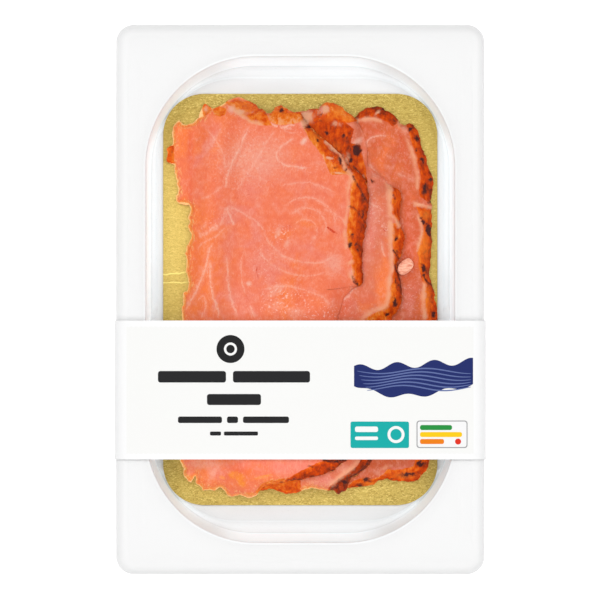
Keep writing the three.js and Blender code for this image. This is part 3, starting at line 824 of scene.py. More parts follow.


# %% [markdown]
# ### What the photograph shows on each slice
# For each slice: its four borders, its roasted areas with how brown they are at their inner and at
# their outer side, the pale rims between flesh and crust, charred spots and lines, sinews with
# their strength, and cracks. A line starts with its width in pixels. The other lists hold soft oval
# spots: middle, two radii and turn, then strength. "thin" is where the slice thins out, "toasted"
# where the crust is browner, and the rest are tints of the flesh. Of these, the wet places carry
# painted glints, a few pale spots are painted glints, and the deep red spots are partly painted shade
# in folds and beside the slice above. "hangs" is how many millimetres beyond this slice the one
# above it comes down.

# %% The top slice
TOP = {
    "thin": [(345, 303, 15, 24, 20, 0.9), (350, 292, 6, 5, 0, 0.5)],
    "toasted": [(358, 240, 6, 12, 0, 0.05), (364, 212, 5, 12, 0, 0.1)],
    "left": [
        (180, 460.6), (181, 440), (181.5, 400), (182, 360), (182, 320.4), (181, 311), (182.8, 304),
        (183, 293.4), (187, 290.8), (187.7, 280.6), (185.6, 270.4), (185.9, 260), (185.6, 250), (190, 240),
        (191.6, 233.5), (188.2, 228.8), (188.7, 224), (188.2, 214.4), (189.6, 208.3), (188.2, 204.5),
        (184, 203), (179, 202.8), (176.5, 200), (175.8, 196.2), (178.2, 191.4), (176.7, 182), (174.4, 173),
        (173.4, 163.7), (167.4, 161), (166.9, 154), (167.3, 147.4), (172, 143.6), (171.5, 130), (174, 124),
        (178.7, 119.2)],
    "far": [
        (178.7, 119.2), (180.5, 121.5), (183.5, 123.5), (193, 122.5), (197.3, 118.5), (203.2, 114.8),
        (201.5, 108.6), (205, 103.7), (211, 107), (216, 107.5), (222, 104.5), (230, 98.5), (236, 97.3),
        (246, 99.3), (255, 104), (263, 110), (270, 113), (275, 107.5), (281, 105), (284, 107), (288, 109),
        (292, 111.5), (300, 112), (303, 118)],
    "right": [
        (350, 458), (350, 440), (345, 400), (339, 360), (337, 322), (338, 318), (341, 306), (345, 297),
        (352, 289), (357, 285.5), (359.5, 286.5), (362.9, 281), (362.6, 272), (362.4, 257), (363.5, 241),
        (366, 228), (367.2, 215), (369.3, 205), (368.5, 192), (364, 177), (350, 166), (341, 155),
        (331, 145), (318, 135), (309, 127), (303, 118)],
    "near": [
        (180, 460.6), (181, 466.6), (184.3, 469.3), (183.4, 474), (187, 480), (190.9, 483), (193.2, 478.5),
        (194.8, 475.5), (195.8, 485), (201, 488), (202, 491.4), (208.6, 490.4), (215.2, 491.2),
        (219.7, 488.8), (224, 491), (227, 496.3), (233, 496.8), (240, 495.6), (244.5, 497.5), (254, 497.3),
        (257.5, 495), (262, 488), (270, 485), (277, 484), (283, 483.8), (290, 481), (302.6, 479.3),
        (312.3, 477.3), (326.8, 473.4), (336.5, 468.6), (350, 458)],
    "roasted": [
        (0.2, 0.42, [
            (236, 112), (239.4, 115), (249, 121.6), (261.4, 125.4), (272, 125.6), (268, 117), (266, 112),
            (262, 100), (250, 90), (228, 90), (221, 100), (229, 105), (233, 107)]),
        (0.22, 0.3, [(213, 108), (219, 105.5), (226.5, 108), (226, 114), (220, 116.5), (213, 114.5)]),
        (0.2, 0.4, [(200, 100), (212, 100), (211, 112), (203, 116)]),
        (0.02, 0.42, [
            (268, 116), (270.5, 121.5), (279, 125.5), (289, 124.6), (296, 123), (304, 121), (306, 108),
            (290, 98), (274, 98)]),
        (0.12, 0.7, [
            (303, 128.8), (309.6, 140), (318.6, 151), (325, 161), (330.8, 174.6), (345.4, 174.6),
            (352, 176), (362, 168), (350, 150), (330, 128), (306, 112), (301, 120)]),
        (0.22, 0.75, [
            (351, 166), (352, 178), (349.7, 192), (350, 205), (348, 217), (346.2, 233), (348.2, 247.5),
            (353, 257), (351, 262), (352.5, 277.6), (357, 285), (360, 292), (372, 290), (376, 250),
            (378, 200), (372, 170), (362, 160)]),
        (0.4, 0.85, [
            (284, 480.5), (290, 477.3), (295.8, 473.4), (307.4, 467.6), (317, 462.8), (330, 458),
            (352, 452), (362, 470), (340, 485), (300, 492), (284, 488)]),
        (0.3, 0.4, [(165, 145), (173.5, 145.5), (174.5, 163.5), (165, 163)]),
        (0.1, 0.4, [(254, 494), (261, 484), (272, 480), (284, 478), (291, 484), (280, 489), (262, 495)])],
    "rims": [
        (3.6, [(327.5, 141), (336.4, 150), (342, 159), (345.4, 168), (349.8, 174.6), (353, 181)]),
        (2.2, [(350, 178), (347.5, 192), (348, 205), (346, 217), (344.5, 233), (346.5, 248)]),
        (3.4, [(351, 262), (346, 265), (341.5, 269), (346, 273), (352, 277.6)]),
        (2.4, [(232.5, 107), (240, 115.5), (249, 121), (261, 124.5)]),
        (1.2, [(229, 99), (236, 97.3), (246, 99.3)])],
    "burnt": [
        (281.5, 110, 3, 4.5, 20, 0.8), (340, 160, 2.6, 8, -25, 0.75), (317.5, 139.7, 1.8, 2, 0, 0.9),
        (310.5, 125.5, 7, 2.4, -10, 1), (349.5, 245, 2.4, 3.6, 0, 1), (356, 244, 2.4, 2.4, 0, 0.8),
        (357, 250.5, 1.4, 2.5, -20, 0.9), (361.5, 246.5, 1.3, 3, 0, 0.7), (362, 214, 1.8, 4, 10, 0.85),
        (363, 197, 2.2, 8, -22, 0.8), (357, 283, 1.8, 4, -30, 1), (333.5, 467, 3, 1.6, 10, 0.9),
        (283, 483.6, 3.5, 1.3, 0, 0.9), (238.6, 494.3, 1, 1, 0, 0.9), (172, 151, 0.9, 1.2, 0, 0.8),
        (353, 235, 4, 6, 0, 0.3), (346, 170, 3, 3, 0, 0.5), (335, 167, 5, 2, -10, 0.45),
        (312, 466, 8, 2, 12, 0.6), (345, 461, 8, 2.5, 20, 0.8)],
    "burnt_lines": [
        (1.3, [(353, 176), (358, 184.5), (362.9, 195.2), (368.5, 204)]),
        (0.8, [(350, 206), (358, 212.7), (364.8, 222.3)]),
        (1.5, [(352.5, 276), (355, 282), (359, 286.5)]),
        (2.4, [(324, 461), (343, 461)])],
    "sinews": [
        (1.1, 0.6, [
            (250, 125.4), (244.2, 136), (240.4, 146.5), (234.6, 157), (229, 170.4), (226, 182),
            (227, 191.4)]),
        (1.2, 0.3, [
            (278.7, 127.3), (271, 136), (264.3, 144.5), (259.5, 155), (251.9, 166.6), (244.2, 178),
            (234.6, 194.3)]),
        (1.1, 0.5, [
            (295.9, 136.9), (288, 141.7), (280.6, 147.4), (276.3, 154), (277.7, 160.8), (283.4, 164.6),
            (294, 166.6), (309, 168.5)]),
        (1, 0.3, [(279.6, 186.7), (287.3, 184.3), (310, 182.8), (324, 187.4), (336.7, 193.3)]),
        (1.2, 0.7, [(270, 121.6), (278.7, 127.3), (289, 125.9), (296, 124.4)]),
        (2.4, 0.5, [(219.3, 224.9), (206, 232.5), (197.3, 236.4)]),
        (1.1, 0.5, [(226, 205.7), (228, 210.5), (230.8, 218.2), (234.6, 225.8)]),
        (1.4, 0.35, [(226, 205.7), (223.2, 217.2), (219.3, 224.9)]),
        (1.4, 0.6, [
            (213.6, 241), (207.8, 253.6), (206, 267), (200.2, 281.3), (193.5, 295.7), (187.8, 304.3),
            (185.8, 313)]),
        (1.3, 0.6, [
            (210.7, 259.3), (209.8, 272.7), (210.7, 286), (213.6, 298.6), (217.4, 308), (218.9, 319.6)]),
        (1.2, 0.5, [
            (227, 253.6), (227.5, 272.7), (228.4, 286), (230.8, 297.6), (235.6, 312), (239.4, 318.7)]),
        (1, 0.35, [(241.3, 255.5), (240.9, 267), (242.3, 283.3), (246, 296.7)]),
        (1.1, 0.5, [(249, 305), (252.5, 311), (254.7, 318)]),
        (1.2, 0.3, [(321, 207.8), (333.8, 212.7), (343.5, 220.4), (346.4, 228.2)]),
        (1, 0.3, [(200, 199), (210, 195), (222, 186)]),
        (1, 0.35, [(196, 303), (203, 296), (206, 306), (200, 320)]),
        (0.9, 0.25, [(278.7, 127.3), (292, 133), (300, 131)]),
        (1.2, 0.35, [(284, 206), (300, 198), (318, 200), (332, 212), (336, 228)]),
        (1.2, 0.35, [(288, 216), (302, 208), (318, 212), (326, 224), (324, 240)]),
        (1.1, 0.3, [(292, 226), (304, 219), (315, 224), (316, 236), (308, 246)]),
        (1.3, 0.35, [(262, 230), (270, 244), (284, 256), (302, 262), (322, 262), (338, 254)]),
        (1.2, 0.3, [(256, 246), (268, 262), (286, 272), (310, 276), (334, 270)]),
        (1.2, 0.35, [(226, 205), (240, 212), (256, 222), (268, 236)]),
        (1.4, 0.35, [(262, 290), (280, 286), (300, 289), (320, 296), (334, 306)]),
        (1.1, 0.3, [(196, 250), (204, 242), (216, 236), (226, 226)]),
        (1, 0.3, [(206, 128), (214, 138), (222, 152), (226, 170)])],
    "cracks": [
        (1.3, [(236.6, 197.2), (239.4, 198.1)]),
        (0.8, [(243.3, 196.2), (250, 193.8)]),
        (2.2, [(326, 226.2), (331.8, 231), (338.6, 234)]),
        (1, [(257, 264), (256.5, 272), (258.5, 281)]),
        (0.9, [(288, 222), (290.5, 229)])],
    "warm": [
        (198, 270, 26, 60, 4, 1), (284, 300, 12, 26, 10, 0.6), (270, 258, 10, 16, 20, 0.5),
        (180, 135, 12, 26, 0, 1), (212, 117, 22, 11, 10, 0.7), (195, 215, 12, 16, 0, 0.9),
        (296, 282, 7, 22, 0, 0.8), (207, 142, 15, 14, 20, 0.8), (305, 225, 14, 9, 0, 0.5),
        (205, 475, 26, 20, 0, 1), (240, 478, 18, 9, -15, 1), (222, 150, 9, 30, 20, 0.4),
        (284, 235, 9, 5, 0, 0.5), (183, 200, 8, 8, 0, 0.8), (322, 300, 16, 12, 0, 0.4),
        (250, 109, 14, 6, -20, 0.4), (265, 480, 16, 5, -14, 0.8), (300, 150, 10, 12, 0, 0.25)],
    "pink": [
        (235, 215, 26, 16, 30, 0.6), (255, 185, 14, 34, 24, 0.5), (245, 240, 22, 14, 0, 0.6),
        (268, 265, 20, 26, 0, 0.7), (306, 250, 26, 16, 20, 0.5), (340, 235, 12, 30, 10, 0.4),
        (296, 190, 30, 20, 10, 0.3), (285, 465, 34, 12, 4, 0.8), (240, 305, 30, 14, 10, 0.5),
        (204, 150, 7, 28, 36, 0.7), (220, 475, 12, 12, 0, 0.5)],
    "pale": [
        (249, 283.5, 4, 3, 20, 0.7), (278, 232, 3.5, 8, 20, 0.55), (287, 243, 3.5, 6, 30, 0.6),
        (304, 141, 5.5, 2.6, -50, 0.9), (214, 140, 4.5, 24, 36, 0.4), (276, 291, 16, 6, -30, 0.5),
        (277, 305, 14, 10, 0, 0.4), (295, 312, 12, 8, 0, 0.5), (329.5, 158, 4, 1.4, 10, 0.9),
        (338.5, 173, 6, 1.2, 5, 0.8), (302, 168, 7, 1, -5, 0.8), (206, 109, 4.4, 5, 30, 0.6),
        (231.5, 109, 4.6, 4.6, 0, 0.75), (320, 165, 16, 8, 10, 0.3), (240, 155, 5, 14, 20, 0.2),
        (204, 226, 7, 3.5, -30, 0.4), (287, 128, 5, 2, 0, 0.5), (352, 272, 4, 6, 0, 0.6),
        (296, 140, 8, 4, -20, 0.25), (251, 112, 9, 2, -28, 0.4), (275, 110, 5, 3, 0, 0.4),
        (291, 111, 6, 2.5, -10, 0.4), (221, 224, 6, 3, -40, 0.4), (248, 208, 20, 6, -20, 0.15),
        (301, 209, 12, 4, -30, 0.3), (352, 120, 3, 2, 0, 0.3), (213, 473, 5, 14, 30, 0.5),
        (205, 464, 26, 7, 0, 0.5), (255, 158, 50, 32, 0, 0.5), (241, 112, 8, 4, 10, 0.7),
        (304, 124, 5, 6, 0, 0.75), (334, 264, 12, 16, 0, 0.5)],
    "deep": [
        (338, 292, 10, 14, 20, 0.6), (288, 127, 12, 5, 0, 0.5), (237, 474, 14, 7, -12, 0.9),
        (226, 478, 5, 8, 0, 0.6), (190, 152, 3.2, 26, 0, 0.9), (190, 190, 2.6, 18, 0, 0.7),
        (205, 135, 7, 10, 30, 0.5), (227, 150, 2.6, 36, 8, 0.35), (298, 281, 4, 14, -8, 0.6),
        (298, 300, 3, 10, 0, 0.6), (287, 227, 5, 2.5, -10, 0.5), (330, 316, 24, 6, 0, 0.6),
        (259, 110, 6, 10, -55, 0.3), (236, 119, 14, 3.5, -15, 0.3), (284, 121, 12, 4, 0, 0.6),
        (345, 300, 4, 8, 10, 0.5), (196, 270, 5, 30, 0, 0.35), (203, 310, 5, 12, -10, 0.4),
        (316, 230, 9, 3, 20, 0.25)],
    "amber": [
        (236, 476, 9, 5, 10, 0.9), (242, 482, 5, 7, 0, 0.8), (262, 477, 14, 2.4, -16, 0.7),
        (184, 299, 1.8, 5.5, 0, 0.9), (237, 110.5, 3.6, 2, -35, 1), (216, 112, 4, 2, 0, 0.6),
        (189, 479, 4, 5, 0, 0.6), (250, 494, 9, 3, 0, 0.7), (190, 230, 1.6, 7, 0, 0.7),
        (222, 478, 6, 3, 10, 0.6), (187, 262, 1.6, 14, 0, 0.6), (193, 208, 3, 8, 0, 0.5),
        (176, 152, 2, 8, 0, 0.3), (180, 124, 6, 5, 0, 0.5), (314, 138, 6, 6, 40, 0.7),
        (222, 100, 8, 4, -20, 0.8), (244, 104, 7, 4, 20, 0.5)],
    "wet": [
        (284, 303, 24, 16, 0, 1), (320, 312, 20, 9, 0, 0.9), (282, 235, 10, 10, 0, 0.8),
        (332, 158, 10, 6, 0, 0.6), (310, 168, 30, 5, 0, 0.4), (240, 150, 30, 40, 0, 0.25),
        (262, 262, 12, 22, 0, 0.35), (213, 222, 12, 6, -30, 0.5), (296, 130, 24, 8, 0, 0.3)],
}

# %% The middle slice
MIDDLE = {
    "hangs": 9,
    "thin": [(364, 140, 7, 30, 0, 0.92), (372, 168, 9, 9, 0, 0.9), (386, 181, 14, 7, -30, 0.9)],
    "toasted": [
        (330, 124, 14, 7, 20, 0.22), (350, 148, 10, 12, 0, 0.3), (397, 270, 5, 30, 0, 0.12),
        (352, 128, 6, 8, 0, 0.25)],
    "left": [(212, 470), (205.2, 300), (215, 119.9)],
    "far": [
        (215, 119.9), (250, 117), (280, 114.5), (286, 111.5), (290, 110.4), (294, 112), (300, 111.4),
        (307, 110), (313.5, 108), (318.6, 108.4), (320.6, 105.3), (327.8, 101.7), (334.9, 103.3),
        (341, 105.6), (345, 109.4), (351, 114.5), (357, 120)],
    "right": [
        (348, 487.5), (352, 478), (361.7, 472.4), (370.4, 463.7), (378, 440), (384, 400), (388, 360),
        (391, 325), (393, 315), (398, 310), (401.5, 303), (402.4, 292), (400, 279.5), (397.8, 271),
        (397.3, 264), (400.6, 257), (403.4, 246), (404.6, 235.7), (401.5, 228), (400.7, 224), (399.8, 213),
        (401.6, 196), (400.9, 191), (395, 187.5), (389, 184.5), (384, 178.5), (376, 172), (371, 168),
        (367, 163), (367, 150), (364, 135), (360, 127), (357, 120)],
    "near": [
        (212, 470), (240, 482), (256, 489.5), (262.8, 491.2), (268.4, 489.2), (272.4, 488.7), (276, 490.7),
        (281, 492.8), (285.2, 494.8), (290, 494.3), (296, 492.8), (305, 490.7), (310.3, 488.7),
        (315.4, 489.2), (323, 490.2), (328.7, 490.2), (333.8, 491.7), (339.4, 494.3), (344, 491.7),
        (348, 487.5)],
    "roasted": [
        (0.42, 0.6, [
            (296, 100), (296, 135), (330, 160), (353, 182), (368, 196), (366.6, 168), (362, 154.5),
            (361, 145.6), (351, 142), (353, 134.4), (354.3, 128.8), (347.6, 124.4), (343, 119), (338, 118),
            (330, 115), (322, 113), (316, 104)]),
        (0.22, 0.4, [
            (321, 104), (323, 112), (331, 116), (341, 120), (348, 123), (357, 121), (362, 112), (350, 98),
            (325, 94)]),
        (0.25, 0.6, [
            (389, 184.3), (391, 201), (391.8, 213), (398, 222.5), (401, 226), (412, 224), (412, 186),
            (398, 180)]),
        (0.2, 0.62, [
            (391, 223.5), (392, 243.7), (393.9, 254), (392.9, 261), (394.8, 267), (391, 279.5), (390, 296),
            (388, 305.7), (382, 309.6), (370.6, 314.4), (364, 321), (360, 330), (400, 330), (412, 300),
            (412, 230), (400, 222)]),
        (0.3, 0.5, [(254, 484), (276, 484), (300, 477), (302, 500), (254, 500)]),
        (0.7, 0.9, [
            (362, 458), (357, 466), (350, 471.5), (342, 476.5), (336, 481), (329.5, 486), (327, 491),
            (329, 498), (350, 496), (360, 485), (380, 465), (380, 455)])],
    "rims": [
        (5.5, [
            (386, 181), (389, 190), (388.5, 205), (388, 216), (390, 228), (389.5, 245), (391, 262),
            (388.5, 278), (387, 296), (384, 305), (375, 309.5), (364, 315), (358, 321)]),
        (4, [(357, 461), (345, 472), (330, 484)]),
        (2.2, [(388.5, 214), (394, 219), (400, 225.5)])],
    "burnt": [
        (320.5, 114.3, 2.8, 1.3, -10, 0.9), (327, 133, 3, 3, 0, 0.95), (343.5, 134.8, 2.7, 2.3, 0, 0.95),
        (336.4, 126.6, 1.3, 1, 0, 0.9), (347.6, 137.8, 1, 1.2, 0, 0.9), (351.2, 137.8, 1, 1.2, 0, 0.9),
        (356.5, 150.5, 4.4, 7, 0, 1.2), (351.3, 160.5, 2.6, 2.4, 0, 1), (394.5, 197, 2, 7, -12, 0.6),
        (396.3, 238, 2.3, 2, 0, 1), (397, 283, 1.6, 9, -10, 0.8), (395.5, 302, 3.4, 9, -12, 0.6),
        (387, 314.4, 2.6, 2.4, 0, 1.1), (349, 149, 3, 4, 0, 0.3), (346, 140, 5, 3, 0, 0.25),
        (350, 152, 2, 3, 0, 0.4), (320, 121, 7, 3, 0, 0.35), (397.5, 252, 3, 6, -20, 0.35),
        (345, 482, 9, 4, 20, 0.5), (373, 180, 3, 7, -30, 0.35)],
    "burnt_lines": [
        (1.4, [(393.9, 249.5), (397, 255), (399.7, 260)]),
        (1.6, [(395.8, 266), (399.7, 279.5), (402.4, 290)]),
        (1.5, [(349, 477.5), (358, 472.5), (369, 464)]),
        (1.2, [(354, 167), (359, 172), (366, 182)])],
    "sinews": [
        (1, 0.5, [(381, 241), (383, 252), (385.6, 258)]),
        (1.2, 0.5, [(342.5, 301), (349.3, 295), (353, 290), (358, 288)]),
        (1, 0.4, [(369.5, 203), (378, 207), (383.5, 212)]),
        (1, 0.3, [(371, 170), (374, 176), (376, 172)]),
        (1, 0.3, [(366, 240), (370, 243), (369, 246)])],
    "cracks": [(1, [(383, 228), (385, 231), (387, 229)])],
    "warm": [
        (372, 160, 12, 14, 0, 0.3), (368, 310, 20, 14, 0, 0.5), (383, 290, 8, 30, 0, 1),
        (386, 270, 6, 30, 0, 0.8), (310, 488, 30, 5, 0, 0.5), (348, 310, 8, 12, 0, 0.5)],
    "pink": [
        (368, 230, 9, 40, 0, 0.7), (362, 265, 5, 20, 0, 0.6), (330, 480, 20, 8, 0, 0.4),
        (358, 305, 12, 8, 0, 0.3), (290, 487, 12, 5, 0, 0.6)],
    "pale": [
        (384, 226, 3.4, 5, -20, 0.45), (358, 141, 7, 3.5, -30, 0.8), (325.5, 109, 4.4, 5, -20, 0.9),
        (306, 117, 9, 8, 10, 0.9), (322, 112, 9, 6, 0, 0.55), (336, 124, 7, 4, 10, 0.55),
        (346, 158, 6, 8, 0, 0.55), (378, 265, 9, 36, 0, 0.15), (362, 178, 4, 3.5, -40, 0.7),
        (356, 173, 5, 1.8, -35, 0.7), (345, 470, 14, 8, 30, 0.4), (375, 205, 8, 18, 0, 0.3),
        (331, 120, 4, 2, -30, 0.3), (343, 123, 5, 1.6, -20, 0.35), (366, 295, 8, 3, -20, 0.2)],
    "deep": [
        (345, 304, 8, 16, 10, 0.9), (355, 316, 12, 4, 0, 0.6), (362, 262, 3, 16, 0, 0.5),
        (366, 300, 12, 8, 0, 0.5), (378, 282, 3, 3, 0, 0.2)],
    "amber": [
        (340, 109, 6, 5, -30, 0.8), (333, 117, 7, 2, -20, 0.5), (394, 236, 2.2, 10, 0, 0.5),
        (336, 147, 5, 4, 0, 0.4), (391, 262, 1.6, 8, 0, 0.5), (350, 118, 4, 3, 0, 0.5)],
    "wet": [
        (372, 215, 10, 30, 0, 0.5), (384, 227, 5, 6, 0, 0.8), (345, 305, 16, 14, 0, 0.4),
        (330, 482, 20, 8, 0, 0.3)],
}

# %% The bottom slice
BOTTOM = {
    "hangs": 12,
    "thin": [],
    "toasted": [(386, 112, 12, 5, 20, 0.15), (426, 200, 8, 34, 0, 0.12), (428, 262, 6, 24, 0, 0.1)],
    "left": [(249.9, 465), (243, 350), (240, 300), (250, 128)],
    "far": [
        (250, 128), (300, 123), (340, 121.5), (352, 119.5), (355.3, 117), (361.4, 110.4), (367.6, 107.3),
        (374.7, 106.3), (380.8, 106.8), (384.9, 109.9), (391, 112.4), (397, 117.6), (399.5, 121.5),
        (404.5, 124.8), (410, 123.2), (413, 123.9)],
    "right": [
        (422.5, 476), (426.7, 470.8), (428.8, 465.2), (429.8, 460.6), (434, 430), (437, 400), (438.5, 360),
        (438, 319.4), (437.4, 310), (434.9, 297), (432.9, 285), (429.8, 274), (430.8, 262), (431.9, 251),
        (432, 233), (432, 212.4), (432.9, 206.3), (431.8, 200), (433, 190), (432.9, 176), (429.6, 170.6),
        (427.8, 163.5), (426.7, 156.5), (422.7, 150), (421.4, 142.5), (419.4, 134), (415.3, 126.5),
        (413, 123.9)],
    "near": [
        (249.9, 465), (300, 475), (340, 482), (348.5, 488.3), (356, 487.4), (363, 486.6), (368, 485.8),
        (375, 484.4), (379.3, 480.8), (385.4, 479.6), (395.6, 480.6), (405.8, 482), (416, 481),
        (420, 478.3), (418.6, 473.5), (422.5, 476)],
    "roasted": [
        (0.55, 0.75, [
            (352, 122.5), (361, 118.2), (372, 117.2), (381, 119), (387.8, 122.2), (393.3, 126.6),
            (398, 123), (402, 112), (385, 98), (362, 98), (350, 112)]),
        (0.4, 0.72, [
            (406.7, 125), (410, 136.6), (413.4, 150), (417.9, 165.7), (420, 174.6), (419, 188), (420, 197),
            (430, 203), (436, 206), (446, 206), (444, 180), (425, 115), (410, 112)]),
        (0.3, 0.66, [
            (415.5, 205), (418, 211), (420, 216.5), (424, 230), (420, 243.7), (417, 252.4), (419, 257),
            (418, 263), (422, 278.6), (424.9, 291), (425.9, 313.5), (427, 340), (424, 400), (416, 450),
            (415, 460.8), (414, 466.6), (401.5, 469.5), (387, 469.5), (380, 477.3), (372.4, 479.2),
            (361.7, 478.3), (352, 482), (347, 488), (347, 498), (425, 492), (445, 470), (452, 330),
            (446, 250), (446, 206), (434, 206)])],
    "rims": [
        (4.5, [(400, 124), (404, 137), (410, 149), (414.5, 163.4), (417, 176), (417, 186)]),
        (3.4, [(424, 285), (423, 300), (424.5, 318)]),
        (2.4, [(415.5, 203.5), (424, 205.5), (433, 208.3)]),
        (4, [(372, 472), (381, 469.5), (390, 464)]),
        (3.6, [(356, 121.5), (362, 119.8), (372, 118.8), (380, 121)]),
        (2, [(418, 215), (421, 225), (421, 236), (417, 250)])],
    "burnt": [
        (382, 109.3, 5, 2, -20, 0.85), (394.5, 121, 2.4, 5, -20, 0.7), (411, 127.7, 3.4, 2.6, -20, 0.9),
        (416.2, 149.7, 1.2, 1.8, 0, 1), (422.5, 160.5, 3.4, 6, -20, 0.6), (430.8, 179, 2.5, 2, 0, 1),
        (425.6, 188.5, 2.5, 7, 5, 1), (430.7, 202, 2, 1.5, 0, 1), (422, 217.5, 2, 1.5, 0, 0.9),
        (428.8, 230, 2.6, 7, -12, 1.2), (424, 275.5, 3, 2.5, 0, 1.1), (433.6, 314.4, 4, 3, 0, 1),
        (421, 464, 6, 3.5, 0, 1), (367, 480, 8, 4, 0, 0.55), (392, 479.5, 2, 1, 0, 0.9),
        (417, 138, 4, 7, -12, 0.4), (423, 268, 4, 6, 0, 0.55), (424, 222, 4, 4, -20, 0.5),
        (432, 296, 2, 14, -8, 0.25), (409, 475, 14, 4, 0, 0.35), (367, 109, 5, 3, 0, 0.2),
        (430, 192, 2, 8, 0, 0.4), (360, 486, 8, 3, 0, 0.5)],
    "burnt_lines": [(1.6, [(424, 277), (429, 282.5), (433, 286.5)])],
    "sinews": [
        (1, 0.5, [(365.5, 144.5), (371, 137.8), (378.8, 135.5), (387.8, 135.5)]),
        (1.6, 0.3, [(396.7, 172.4), (405, 177), (414.6, 180)]),
        (1.4, 0.3, [(369, 163), (373, 168), (384, 180), (396, 190)])],
    "cracks": [(1, [(399, 134), (402, 139)])],
    "warm": [
        (390, 165, 20, 20, 0, 0.4), (385, 140, 20, 14, 0, 0.3), (416, 255, 4, 12, 0, 0.6),
        (424, 300, 4, 20, 0, 0.5), (412, 198, 8, 20, 0, 0.2)],
    "pink": [(412, 304, 10, 20, 0, 0.5), (408, 235, 7, 20, 0, 0.2), (395, 472, 14, 6, 0, 0.5)],
    "pale": [
        (370, 166, 5, 4, -50, 0.4), (378, 112, 5, 1.9, -40, 0.8), (405, 130, 4, 6, -30, 0.5),
        (418, 205, 6, 2, -10, 0.5), (396, 176, 16, 3, -35, 0.2), (376, 472, 14, 4, 20, 0.4),
        (402, 185, 6, 10, 0, 0.15)],
    "deep": [
        (408, 215, 4, 26, 0, 0.5), (404, 150, 5, 14, -15, 0.3), (410, 250, 8, 28, 0, 0.75),
        (370, 130, 10, 4, 20, 0.2)],
    "amber": [
        (424, 245, 5, 14, 0, 0.8), (426, 215, 4, 5, 0, 0.8), (372, 484, 8, 2, -4, 0.9),
        (404, 476, 10, 2.6, 0, 0.7), (427, 295, 3, 16, -6, 0.7), (402, 123.5, 4, 1.4, 0, 0.7),
        (424, 130, 4, 2, 0, 0.4)],
    "wet": [(410, 295, 12, 24, 0, 0.5), (400, 160, 16, 30, 0, 0.2)],
}
print("marks on the top slice:", sum(len(TOP[kind]) for kind in ("rims", "burnt", "sinews", "warm", "pale")))

# %% [markdown]
# ### Thickness and lie
# A slice is thickest in the middle. At its cut side the edge is short and blunt. In a roasted area
# the surface slopes from the cut face down to the edge, because the knife left the rounded outside
# of the fish there. The underside follows what lies below: it rises over a lower slice and hangs
# down to the board beyond that slice's edge.

# %% Heights
SLICE_BED = 2.5
SLICE_STEP = 4.0
SLICE_THICKNESS = 3.6
CUT_EDGE_MM = 1.6
EDGE_BLUNTNESS = 0.3
EDGE_STEP = 0.5
SINEW_DEPTH = 0.1
CRAG_DEPTH = 0.55
BURN_DEPTH = 0.25
EDGE_SAG = 0.5


def ragged(line):
    """A line whose points are shifted by noise, so that it looks torn rather than drawn."""
    coarse = np.column_stack([lumps(line, 1.5, 61), lumps(line, 1.5, 62)])
    fine = np.column_stack([lumps(line, 0.7, 63), lumps(line, 0.7, 64)])
    return line + 0.28 * coarse + 0.2 * fine


def outline_of(marks):
    """A slice's four torn borders, and all of them as one outline."""
    sides = {side: ragged(curve(marks[side], EDGE_STEP)) for side in ("left", "far", "right", "near")}
    return sides, np.vstack([sides["near"], sides["right"], sides["far"][::-1], sides["left"][::-1]])


def lie(places, lower):
    """Height of a slice's underside over the slices below it, given as (marks, outline)."""
    height = np.full(len(places), SLICE_BED)
    for marks, outline in lower:
        height += SLICE_STEP * smooth(depth_in(places, outline), -marks["hangs"], 0)
    return height


def from_spot(places, x, y, across, up, turn):
    """How far places are from an oval's middle, where 1 is its edge. Radii in pixels, turn in degrees."""
    offset = (places - plan((x, y))) / pixel
    angle = math.radians(-turn)
    first = offset[:, 0] * math.cos(angle) + offset[:, 1] * math.sin(angle)
    second = offset[:, 1] * math.cos(angle) - offset[:, 0] * math.sin(angle)
    return np.hypot(first / across, second / up)


def soft_spots(places, spots):
    """The strongest of several soft oval spots, whose last number is their strength."""
    total = np.zeros(len(places))
    for *spot, strength in spots:
        total = np.maximum(total, strength * np.exp(-from_spot(places, *spot) ** 2 * 0.9))
    return total


def thickness_at(places, marks, outline):
    """Thickness, depth in the nearest roasted area, how brown that area is, and depth in the slice."""
    to_edge = depth_in(places, outline)
    rounding = np.sin(np.clip(to_edge / CUT_EDGE_MM, 0, 1) * math.pi / 2)
    bluntness = EDGE_BLUNTNESS + (1 - EDGE_BLUNTNESS) * rounding
    roast = np.full(len(places), -9.0)
    brown = np.full(len(places), 0.3)
    for inner, outer, area in marks["roasted"]:
        depth = depth_in(places, plan(area))
        share = np.clip(depth, 0, None) / np.clip(depth + to_edge, 0.3, None)
        nearer = depth > roast
        roast[nearer] = depth[nearer]
        brown[nearer] = (inner + (outer - inner) * share)[nearer]
    fall = np.clip(roast, 0, None) / np.clip(roast + to_edge, 0.3, None)
    slope = 1 - 0.72 * fall ** 1.5
    thin = 1 - soft_spots(places, marks["thin"])
    return SLICE_THICKNESS * np.minimum(bluntness, slope) * thin, roast, brown, to_edge


# %% A slice's grid


def patch(sides, columns, rows, crowding):
    """A grid of places that the four borders span, crowded towards the right border."""
    u = 1 - (1 - np.linspace(0, 1, columns + 1)) ** crowding
    v = np.linspace(0, 1, rows + 1)
    near, far = spaced(sides["near"], u), spaced(sides["far"], u)
    left, right = spaced(sides["left"], v), spaced(sides["right"], v)
    u = u[None, :, None]
    v = v[:, None, None]
    corners = (1 - u) * ((1 - v) * near[0] + v * far[0]) + u * ((1 - v) * near[-1] + v * far[-1])
    # Each border's departure from a straight line fades out inwards.
    left_bend = left[:, None] - ((1 - v) * near[0] + v * far[0])
    right_bend = right[:, None] - ((1 - v) * near[-1] + v * far[-1])
    near_bend = near[None] - ((1 - u) * near[0] + u * near[-1])
    far_bend = far[None] - ((1 - u) * far[0] + u * far[-1])
    return (corners + (1 - u) ** 2 * left_bend + u ** 2 * right_bend
            + (1 - v) ** 4 * near_bend + v ** 4 * far_bend)


